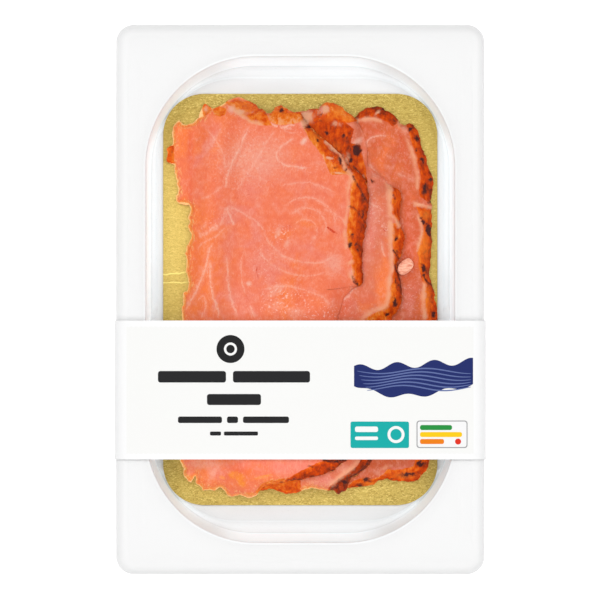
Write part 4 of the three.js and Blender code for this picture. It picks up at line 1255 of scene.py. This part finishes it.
def add_slice(marks, lower, columns, rows, crowding, seed):
    """A slice: a grid pulled to its borders, extruded, laid down and given its marks as attributes."""
    sides, outline = outline_of(marks)
    places = patch(sides, columns, rows, crowding).reshape(-1, 2)
    bpy.ops.mesh.primitive_grid_add(x_subdivisions=columns, y_subdivisions=rows, size=1)
    piece = bpy.context.object
    set_places(piece, np.column_stack([places, np.zeros(len(places))]))
    edit(piece)
    pull_up(1)
    leave()
    points = get_places(piece)
    above = points[:, 2] > 0.5
    places = points[:, :2]
    thickness, roast, brown, to_edge = thickness_at(places, marks, outline)
    mark = marks_at(places, marks, roast, brown, to_edge)
    crust = smooth(roast, -0.2, 0.8)
    crags = 0.5 + 0.3 * lumps(places, 1.6, seed) + 0.2 * lumps(places, 0.8, seed + 1)
    dents = 0.16 + 0.11 * lumps(places, 9, seed + 2) + 0.05 * lumps(places, 3.4, seed + 3)
    groove = SINEW_DEPTH * mark["sinew_share"] * np.exp(-(mark["sinew_side"] / 0.5) ** 2)
    relief = (1 - crust) * (dents + groove) + crust * CRAG_DEPTH * np.clip(crags, 0, 1)
    relief += BURN_DEPTH * smooth(mark["burnt"], -0.6, 0.4)
    # Where the photograph shows no step at the edge, the thin edge sags onto the slice below.
    sag = EDGE_SAG * soft_spots(places, marks["thin"]) * (1 - smooth(to_edge, 1, 4))
    points[:, 2] = lie(places, lower) - sag + above * thickness * (1 - relief / SLICE_THICKNESS)
    set_places(piece, points)
    set_attributes(piece, mark)
    face_outwards(piece)
    return piece, (marks, outline)


# %% [markdown]
# ### Marks
# Every mark becomes a number at each vertex. Where a mark has a sharp border, the number is a
# distance to that border in millimetres: it changes evenly between vertices, so the shader can
# cut it off sharply in between. A sinew's number is a distance with a sign, + on one side and - on
# the other, so that a line thinner than the grid stays unbroken.

# %% Marks as attributes


def marks_at(places, marks, roast, brown, to_edge):
    """Attributes of a slice, by name."""
    # Places are shifted a little by noise, so that hand-drawn borders become uneven.
    shifted = places + 0.35 * np.column_stack([lumps(places, 2.2, 11), lumps(places, 2.2, 12)])
    crumbled = shifted + 0.45 * np.column_stack([lumps(places, 0.9, 13), lumps(places, 0.9, 14)])
    rim = np.full(len(places), -9.0)
    for width, line in marks["rims"]:
        rim = np.maximum(rim, width * pixel / 2 - to_segments(shifted, curve(line, 1))[0])
    burnt = np.full(len(places), -3.0)
    for *spot, strength in marks["burnt"]:
        small_radius = min(spot[2], spot[3]) * pixel
        burnt = np.maximum(burnt, (0.8 - from_spot(crumbled, *spot)) * small_radius - (1 - strength) * 0.8)
    for width, line in marks["burnt_lines"]:
        burnt = np.maximum(burnt, width * pixel / 2 - to_segments(shifted, curve(line, 1))[0])
    side = np.full(len(places), 9.0)
    share = np.zeros(len(places))
    for width, strength, line in marks["sinews"]:
        distance, sign, along = to_segments(places, curve(line, 1))
        fade = smooth(along, 0, 0.12) * smooth(-along, -1, -0.85)
        nearer = distance < np.abs(side)
        side[nearer] = (distance * sign / width)[nearer]
        share[nearer] = (strength * fade * smooth(-distance, -2.4, -0.8))[nearer]
    crack = np.full(len(places), -3.0)
    for width, line in marks["cracks"]:
        distance, _, along = to_segments(shifted, curve(line, 0.7))
        taper = np.sqrt(np.clip(4 * along * (1 - along), 0, 1))
        crack = np.maximum(crack, width * pixel * taper / 2 - distance)
    # Only the left side and the near end lie open on the board, where the edge gets painted light of its own.
    open_edge = np.maximum(smooth(-places[:, 0], 14, 26), smooth(-places[:, 1], 54, 57))
    # Painted light on the flesh beside the sleeve, most on its near side, against the sleeve's shade.
    to_sleeve = np.minimum(np.abs(places[:, 1] - sleeve_high.y), np.abs(places[:, 1] - sleeve_low.y))
    by_sleeve = np.exp(-to_sleeve / 5) * (0.1 + 0.28 * (places[:, 1] < sleeve_middle))
    return {
        "roast": roast, "brown": brown + soft_spots(places, marks["toasted"]), "edge": to_edge,
        "open_edge": open_edge, "by_sleeve": by_sleeve, "rim": rim, "burnt": burnt, "sinew_side": side,
        "sinew_share": share, "crack": crack, "amber": soft_spots(shifted, marks["amber"]),
        **{tint: soft_spots(places, marks[tint]) for tint in ("warm", "pink", "pale", "deep", "wet")}}


# %% [markdown]
# ### The fish's finish
# Cooked salmon is moist, so it has a soft shine, and light enters it a little: the glow of its thin
# open edges and of the flesh beside the sleeve is painted light, and the glints on wet places are
# painted highlights. The flesh goes from pink in the core to orange at the sides, with fine grain.
# The crust runs from bright orange at the flesh to dark brown at the edge, with charred spots. Fine
# noise is added to each distance before it is cut off, which gives every border its crumbly look.

# %% The salmon's finish


def salmon_finish(name, flesh_color, seed_turn):
    fish = Finish(name)
    turned = fish.turned(seed_turn)
    fibre = fish.noise(0.8, detail=2, distortion=1.5, place=fish.turned(seed_turn - 55, (1, 0.45, 1)))
    coarse = fish.noise(7, detail=3, distortion=0.8, place=turned)
    middle = fish.noise(2.2, detail=3, place=turned)
    fine = fish.noise(0.75, detail=3, roughness=0.6, place=turned)
    grain = fish.noise(0.4, detail=2, roughness=0.6, place=turned)
    mark = {key: fish.attribute(key) for key in (
        "roast", "brown", "edge", "rim", "burnt", "sinew_side", "sinew_share", "crack", "warm", "pink",
        "pale", "deep", "amber", "wet", "open_edge", "by_sleeve")}

    # A sinew is a soft pale band with a fine core, and the flesh is deeper along one side of it.
    off_line = mark["sinew_side"] + (fine - 0.5) * 0.8 + (middle - 0.5) * 1.2
    band = (2 - abs(off_line)).rise(0, 2) * mark["sinew_share"]
    one_side = (off_line - 0.3).rise(0, 0.8) * (2.6 - off_line).rise(0, 1.4) * mark["sinew_share"]
    core = (0.5 - abs(off_line)).rise(0, 0.5) * mark["sinew_share"] * (fibre.rise(0.35, 0.6) * 0.6 + 0.3)
    # At the open edge: an orange band, pale strands that reach inwards and a hair-thin pale line.
    outer = (1.3 - mark["edge"] + (middle - 0.5) * 2.4).rise(0, 0.9) * mark["open_edge"]
    hair = (0.45 - mark["edge"] + (fine - 0.5) * 1.4 + (middle - 0.5) * 1.2).rise(0, 0.25) * mark["open_edge"]
    strand = (fibre - 0.52).rise(0, 0.14) * (3.2 - mark["edge"]).rise(0, 2.4) * mark["open_edge"]
    # The flesh, from its large patches to its lines.
    flesh = fish.layers(
        flesh_color,
        (lit(251, 130, 70), (mark["warm"] + (coarse - 0.5) * 1.4).rise(0.05, 0.9)),
        (lit(239, 142, 128), (mark["pink"] - (coarse - 0.5) * 1.5).rise(0.05, 0.8) * 0.6),
        # Deeper red spots, partly painted shade in folds and beside the slice above.
        (lit(234, 100, 66), mark["deep"] * (middle.rise(0.2, 0.7) * 0.5 + 0.5)),
        (lit(252, 146, 52), (mark["amber"] + (middle - 0.5) * 0.6).rise(0.3, 0.7) * 0.85),
        (lit(249, 168, 146), middle.rise(0.48, 0.78) * 0.36),
        (lit(236, 106, 76), (1 - middle).rise(0.48, 0.78) * 0.45),
        # Pale spots, a few of them painted glints.
        (lit(247, 192, 172), (mark["pale"] + (fine - 0.5) * 0.4).rise(0.12, 0.95) * 0.9),
        (lit(236, 102, 66), one_side * 0.5),
        (lit(250, 178, 156), (band * 0.36).smaller(1)),
        (lit(253, 204, 184), core.smaller(1)),
        (lit(212, 66, 36), (mark["crack"] + (fine - 0.5) * 0.3).rise(-0.08, 0.12)),
        (lit(251, 176, 150), fibre.rise(0.5, 0.75) * 0.3),
        (lit(232, 104, 76), (1 - fibre).rise(0.5, 0.75) * 0.3),
        # Painted glints, mostly on the wet places.
        (lit(255, 222, 212), fine.rise(0.56, 0.7) * (mark["wet"] * 0.75 + 0.03)),
        (lit(248, 142, 64), outer * 0.85),
        (lit(254, 208, 146), hair * 0.9),
        (lit(254, 196, 122), strand * 0.7))

    # The crust, browner outwards, with streaks that run across the band.
    streaky = fish.noise(1.5, detail=3, roughness=0.6, distortion=0.8, place=fish.turned(30, (1, 0.4, 1)))
    toast = mark["brown"] + (middle - 0.5) * 0.8 + (streaky - 0.5) * 0.9 + (grain - 0.5) * 0.15
    crust = fish.ramp(toast, (
        (0.0, lit(247, 160, 104)), (0.18, lit(244, 128, 38)), (0.4, lit(228, 88, 8)),
        (0.62, lit(198, 63, 4)), (0.82, lit(148, 48, 14)), (1.0, lit(94, 37, 24))))
    edge_line = (0.14 - mark["edge"] + (fine - 0.5) * 0.4).rise(0, 0.15) * fine.rise(0.45, 0.6)
    crust = fish.layers(
        crust,
        (lit(250, 150, 54), mark["amber"] * 0.5),
        (lit(242, 180, 144), (mark["pale"] + (streaky - 0.5) * 0.8).rise(0.25, 0.75) * 0.85),
        (lit(240, 160, 84), edge_line * 0.7),
        # Painted glints on the wet crust.
        (lit(255, 226, 208), grain.rise(0.6, 0.7) * mark["wet"] * 0.6))
    border = (mark["roast"] + (middle - 0.5) * 1.1 + (fine - 0.5) * 0.6).rise(-0.12, 0.22)
    # The rim is palest at the crust and fades out into the flesh.
    near_crust = (mark["roast"] + 2.4).rise(0, 2.4)
    rim = (mark["rim"] + (middle - 0.5) * 2.2 + (fine - 0.5) * 0.7).rise(-0.9, 0.6) * near_crust
    burn = mark["burnt"] + (fine - 0.5) * 0.9 + (grain - 0.5) * 0.5
    color = fish.layers(
        flesh,
        (crust, border),
        (lit(247, 178, 140), rim * 0.75),
        (lit(140, 54, 26), burn.rise(-0.45, 0.1) * 0.65),
        (lit(64, 33, 34), burn.rise(-0.1, 0.3) * 0.92))
    # Painted light: the thin open edge gives off some of its own colour, standing in for light that
    # passes through it, and so does the flesh beside the sleeve, against the sleeve's shade.
    painted_glow_share = (1.4 - mark["edge"]).rise(0, 1.4) * mark["open_edge"] * 0.3 + mark["by_sleeve"]
    painted_edge_glow = fish.mix((0, 0, 0, 1), color, painted_glow_share)

    # Relief too fine for the grid, and the shine of moist flesh.
    swell = fish.noise(2.6, detail=1, place=turned)
    crumbs = fish.noise(0.8, detail=2, place=turned)
    relief = swell * 0.5 + crumbs * (border * 0.7 + mark["wet"] * 0.4)
    return fish.surface(
        Base_Color=color, Roughness=0.34 - mark["wet"] * 0.12, Specular_IOR_Level=0.06,
        Emission_Color=painted_edge_glow, Emission_Strength=1,
        Normal=fish.bump(relief, 0.25))


# %% The three slices
# Each with its grid's columns and rows, how its columns crowd to the right, a seed, its own colour
# and how its grain is turned.
slices_below = []
for name, marks, columns, rows_along, crowding, seed, color, grain_turn in (
        ("bottom", BOTTOM, 190, 240, 2.2, 31, (212, 98, 58), 20),
        ("middle", MIDDLE, 190, 250, 1.9, 41, (225, 119, 86), 50),
        ("top", TOP, 160, 300, 1, 51, (246, 126, 88), 0)):
    piece, laid = add_slice(marks, slices_below, columns, rows_along, crowding, seed)
    slices_below.append(laid)
    material = salmon_finish("salmon_flesh_" + name, lit(*color), grain_turn)
    finish_piece(piece, "salmon_" + name, material, stands_for=["slice_" + name])

# %% [markdown]
# ### The loose flake
# One small pale flake of fish lies loose on the two lower slices. It is a ball pressed flat, with
# fine ridges along it where the muscle fibres ran.

# %% The flake
FLAKE_BOX = (397.8, 258.2, 413.3, 274.7)
FLAKE_TURN = 42
FLAKE_HALF_LENGTH = 3.5
FLAKE_HALF_WIDTH = 2.2
flake_low, flake_high = span("loose_flake")
flake_middle = plan(((FLAKE_BOX[0] + FLAKE_BOX[2]) / 2, (FLAKE_BOX[1] + FLAKE_BOX[3]) / 2))
bpy.ops.mesh.primitive_uv_sphere_add(segments=64, ring_count=40, radius=MM)
flake = bpy.context.object
shape = get_places(flake)
ridges = 1 - 0.05 * np.abs(np.sin(shape[:, 1] * 9 + lumps(shape[:, :2] * 3, 1.5, 71)))
uneven = 1 + 0.1 * lumps(shape[:, :2] * 3, 2.4, 72)
long_axis = np.sign(shape[:, 0]) * np.abs(shape[:, 0]) ** 0.8
shape = np.column_stack([
    long_axis * FLAKE_HALF_LENGTH * uneven, shape[:, 1] * FLAKE_HALF_WIDTH * uneven, shape[:, 2] * ridges])
turn = math.radians(FLAKE_TURN)
cosine, sine = math.cos(turn), math.sin(turn)
x = shape[:, 0] * cosine - shape[:, 1] * sine + flake_middle[0]
y = shape[:, 0] * sine + shape[:, 1] * cosine + flake_middle[1]
flake_height = flake_high.z - flake_low.z
z = flake_low.z + flake_height * (shape[:, 2] + 1) / 2
set_places(flake, np.column_stack([x, y, z]))
edit(flake)
bpy.ops.mesh.subdivide(number_cuts=1, smoothness=0)
leave()
face_outwards(flake)
pale = Finish("pale_fish")
fibres = pale.noise(0.7, detail=3, place=pale.turned(-FLAKE_TURN, (0.3, 1, 1)))
flake_color = pale.mix(srgb(206, 122, 96), srgb(240, 180, 152), fibres.rise(0.3, 0.7))
flake_material = pale.surface(Base_Color=flake_color, Roughness=0.4, Specular_IOR_Level=0.25,
                              Normal=pale.bump(fibres, 0.25))
finish_piece(flake, "loose_flake_piece", flake_material, stands_for=["loose_flake"])

# %% [markdown]
# ## The sleeve
# The sleeve is a band of thin card, glued into a closed loop. It lies flat over the film, bends
# round the flange's edge, goes down past the skirt and slants in under the base. A cube gives the
# band's outer shape: it is cut through below the flange, its foot is narrowed, its upper edges are
# rounded by a bevel, the two open ends are deleted and the card gets its thickness inwards.

# %% The band
SHOULDER = 7.6
SHOULDER_ROUND = 4.8
FOOT_HALF = 56.0
CARD = 0.3
OUTER_ROOM = 0.05
INK = 0.03
INK_LAYERS = 3

outer = sleeve_high.x - OUTER_ROOM
top_of_card = sleeve_high.z - INK * INK_LAYERS
band_height = top_of_card - sleeve_low.z
band_middle = (0, sleeve_middle * MM, (sleeve_low.z + band_height / 2) * MM)
bpy.ops.mesh.primitive_cube_add(size=1, location=band_middle)
sleeve = bpy.context.object
sleeve.scale = (2 * outer * MM, (sleeve_high.y - sleeve_low.y) * MM, band_height * MM)
apply_size(sleeve)
edit(sleeve)
bpy.ops.mesh.bisect(plane_co=(0, 0, SHOULDER * MM), plane_no=(0, 0, 1))
choose(sleeve, "verts", lambda v: v.co.z < 1 * MM)
bpy.ops.transform.resize(value=(FOOT_HALF / outer, 1, 1), center_override=(0, 0, 0))
choose(sleeve, "edges", lambda e: all(v.co.z > 12 * MM for v in e.verts)
       and abs(e.verts[0].co.x - e.verts[1].co.x) < MM)
bpy.ops.mesh.bevel(offset=SHOULDER_ROUND * MM, segments=10, affect="EDGES")
choose(sleeve, "edges", lambda e: all(v.co.z < 9 * MM for v in e.verts)
       and abs(e.verts[0].co.x - e.verts[1].co.x) < MM)
bpy.ops.mesh.bevel(offset=0.5 * MM, segments=3, affect="EDGES")
choose(sleeve, "faces", lambda f: abs(f.normal.y) > 0.9)
bpy.ops.mesh.delete(type="FACE")
leave()
face_outwards(sleeve)
thicken = sleeve.modifiers.new("card", "SOLIDIFY")
thicken.thickness = CARD * MM
thicken.offset = -1
take(sleeve)
bpy.ops.object.modifier_apply(modifier="card")
loose_edges = len(sleeve.data.edges) * 2 - sum(len(face.vertices) for face in sleeve.data.polygons)
print("the band is", "open" if loose_edges else "closed")

# %% [markdown]
# ### Print on the sleeve
# The card is white, with a large off-white field on its face. The field's long sides end in a row
# of tiny scallops. They are found from the place along the edge with a sine.

# %% The sleeve's finish
FIELD_PX = (126.5, 327.5, 473.5, 453)
SCALLOP_PX = 4.9
SCALLOP_DEEP = 0.4

field_left, field_far = plan(FIELD_PX[:2])
field_right, field_near = plan(FIELD_PX[2:])
paper = Finish("sleeve_paper")
across = paper.axis("X")
along = paper.axis("Y")
scallop = abs((across * (math.pi / (SCALLOP_PX * pixel))).sine()) * SCALLOP_DEEP
from_ends = (field_far - field_near) / 2 - abs(along - (field_far + field_near) / 2)
from_sides = (field_right - field_left) / 2 - abs(across - (field_right + field_left) / 2)
in_length = (from_ends + scallop).rise(-0.1, 0.1)
in_width = from_sides.rise(-0.1, 0.1)
on_top = paper.axis("Z").rise(15.4, 15.6)
paper_color = paper.mix(lit(251, 251, 251), lit(247, 247, 245), in_length * in_width * on_top)
sleeve_material = paper.surface(Base_Color=paper_color, Roughness=0.75, Specular_IOR_Level=0.15)
finish_piece(sleeve, "card_sleeve", sleeve_material, stands_for=["sleeve"], smooth_below=30)

# %% [markdown]
# ### The printed shapes
# The print is a plain generic design: dark bars, a disc with a ring, a shape of sea with light
# waves, and two labels. Each shape is a thin layer of ink, drawn as a flat outline and pulled up a
# few hundredths of a millimetre, and shapes of one colour are joined. Outlines are in pixels.

# %% Shapes of ink
CIRCLE_STEPS = 64
CORNER_OF_BAR_STEPS = 8
WAVE_STEPS = 80


def add_ink(outline, layer=0):
    """A closed outline in the photograph's pixels as a thin raised layer of ink."""
    base = top_of_card + layer * INK
    bpy.ops.mesh.primitive_circle_add(vertices=len(outline), radius=1, fill_type="NGON")
    piece = bpy.context.object
    corners = np.column_stack([plan(outline), np.full(len(outline), base)])
    set_places(piece, corners)
    edit(piece)
    pull_up(INK)
    leave()
    face_outwards(piece)
    return piece


def rounded_bar(left, far, right, near, corner):
    """Outline of a bar with round corners."""
    outline = []
    middles = [(right - corner, near - corner), (left + corner, near - corner),
               (left + corner, far + corner), (right - corner, far + corner)]
    for quarter, (x, y) in enumerate(middles):
        for step in range(CORNER_OF_BAR_STEPS + 1):
            angle = math.radians(90 * quarter + 90 * step / CORNER_OF_BAR_STEPS)
            outline.append((x + corner * math.cos(angle), y + corner * math.sin(angle)))
    return outline


def disc(x, y, radius):
    turns = (2 * math.pi * step / CIRCLE_STEPS for step in range(CIRCLE_STEPS))
    return [(x + radius * math.cos(turn), y + radius * math.sin(turn)) for turn in turns]


def wave(left, right, height, middle, thickness, phase):
    """Outline of a ribbon that swings up and down and tapers to both ends."""
    shares = np.linspace(0, 1, WAVE_STEPS + 1)
    x = left + (right - left) * shares
    swing = middle + height * np.sin(2 * math.pi * shares * 1.25 + phase)
    half = thickness / 2 * np.sin(math.pi * shares) ** 0.4 + 0.15
    return list(zip(x, swing - half)) + list(zip(x[::-1], (swing + half)[::-1]))


def ink_piece(name, color, outlines, layer=0, roughness=0.55):
    """Several shapes of one colour as one piece."""
    piece = join([add_ink(outline, layer) for outline in outlines])
    ink = Finish(name + "_ink")
    material = ink.surface(Base_Color=color, Roughness=roughness, Specular_IOR_Level=0.2)
    return finish_piece(piece, name, material, smooth_below=30)


# %% Bars, disc and sea
# A bar is given by its left, far, right and near side and the radius of its corners, in pixels.
DARK_BARS = (
    (158, 371, 226, 382.5, 2.5), (233, 371, 310, 382.5, 2.5), (207, 394, 261, 405, 2.5),
    (178, 416.5, 222, 423, 2), (227, 416.5, 238, 423, 2), (243, 416.5, 289, 423, 2),
    (210, 431.5, 221, 435.5, 1.2), (224, 431.5, 258, 435.5, 1.2))
DISC_MIDDLE = (230.5, 349)
DISC_RADIUS = 14
DISC_RING_RADIUS = 6.5
DISC_CORE_RADIUS = 4.2
SEA_LEFT = 354
SEA_RIGHT = 473
SEA_FAR = 368
SEA_NEAR = 384
SEA_SWINGS = 3.2
SEA_LINES = 6
BAR_INK = lit(28, 28, 30)
DARK_INK = lit(24, 24, 26)
WHITE_INK = lit(248, 248, 247)

ink_piece("print_words", BAR_INK, [rounded_bar(*bar) for bar in DARK_BARS])
ink_piece("print_disc", DARK_INK, [disc(*DISC_MIDDLE, DISC_RADIUS)])
ink_piece("print_disc_ring", WHITE_INK, [disc(*DISC_MIDDLE, DISC_RING_RADIUS)], layer=1)
ink_piece("print_disc_core", DARK_INK, [disc(*DISC_MIDDLE, DISC_CORE_RADIUS)], layer=2)
sea = np.linspace(0, 1, 121)
sea_x = SEA_LEFT + (SEA_RIGHT - SEA_LEFT) * sea
sea_far = SEA_FAR - 7 * sea - 3.4 * np.sin(2 * math.pi * (sea * SEA_SWINGS + 0.1))
sea_near = SEA_NEAR + 12 * np.sin(math.pi * sea ** 0.8)
sea_near += 2.2 * np.sin(2 * math.pi * (sea * SEA_SWINGS + 0.3))
sea_outline = list(zip(sea_x, sea_far)) + list(zip(sea_x[::-1], sea_near[::-1]))
ink_piece("print_sea", lit(22, 38, 104), [sea_outline])
ink_piece("print_sea_lines", lit(96, 112, 166), [
    wave(SEA_LEFT + 3 + 2 * line, SEA_RIGHT - 2, 2.6, SEA_FAR + 3 + 3.4 * line, 1.1, 0.4 * line)
    for line in range(SEA_LINES)], layer=1)

# %% The two labels
TEAL_LABEL = (350.5, 421.5, 409, 448, 2)
TEAL_LABEL_BARS = ((355, 426.5, 378, 432, 2), (355, 436.5, 378, 440, 1.5))
LABEL_DISC_MIDDLE = (396, 434.5)
LABEL_DISC_RADIUS = 8.5
LABEL_CORE_RADIUS = 5.6
FRAME = (416.5, 420.5, 467.5, 448, 3)
FRAME_FIELD = (417.5, 421.5, 466.5, 447, 2.4)
FRAME_BARS = {
    "green": ((30, 146, 60), (420, 425, 452, 430, 2)),
    "yellow": ((252, 204, 0), (420, 432, 462, 437, 2)),
    "orange": ((240, 128, 0), (420, 439, 444, 444, 2))}
DOT_MIDDLE = (458, 441.5)
DOT_RADIUS = 3
TEAL_INK = lit(0, 173, 169)

ink_piece("print_teal_label", TEAL_INK, [rounded_bar(*TEAL_LABEL)])
label_marks = [rounded_bar(*bar) for bar in TEAL_LABEL_BARS]
ink_piece("print_teal_marks", WHITE_INK, [*label_marks, disc(*LABEL_DISC_MIDDLE, LABEL_DISC_RADIUS)], layer=1)
ink_piece("print_teal_core", TEAL_INK, [disc(*LABEL_DISC_MIDDLE, LABEL_CORE_RADIUS)], layer=2)
ink_piece("print_frame", lit(160, 160, 162), [rounded_bar(*FRAME)])
ink_piece("print_frame_field", lit(246, 246, 246), [rounded_bar(*FRAME_FIELD)], layer=1)
for name, (color, bar) in FRAME_BARS.items():
    ink_piece(f"print_{name}_bar", lit(*color), [rounded_bar(*bar)], layer=2)
ink_piece("print_red_dot", lit(226, 44, 20), [disc(*DOT_MIDDLE, DOT_RADIUS)], layer=2)

# %% [markdown]
# ## The finished pack
# The outer size is measured before the first piece and after the last one, to see that the
# surfaces stay inside the imported model.

# %% Sizes, and the end
shown_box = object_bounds()
sizes = {"cad": [list(corner) for corner in cad_box], "shown": [list(corner) for corner in shown_box]}
for name, corners in sizes.items():
    print(name, [[round(edge / MM, 2) for edge in corner] for corner in corners])
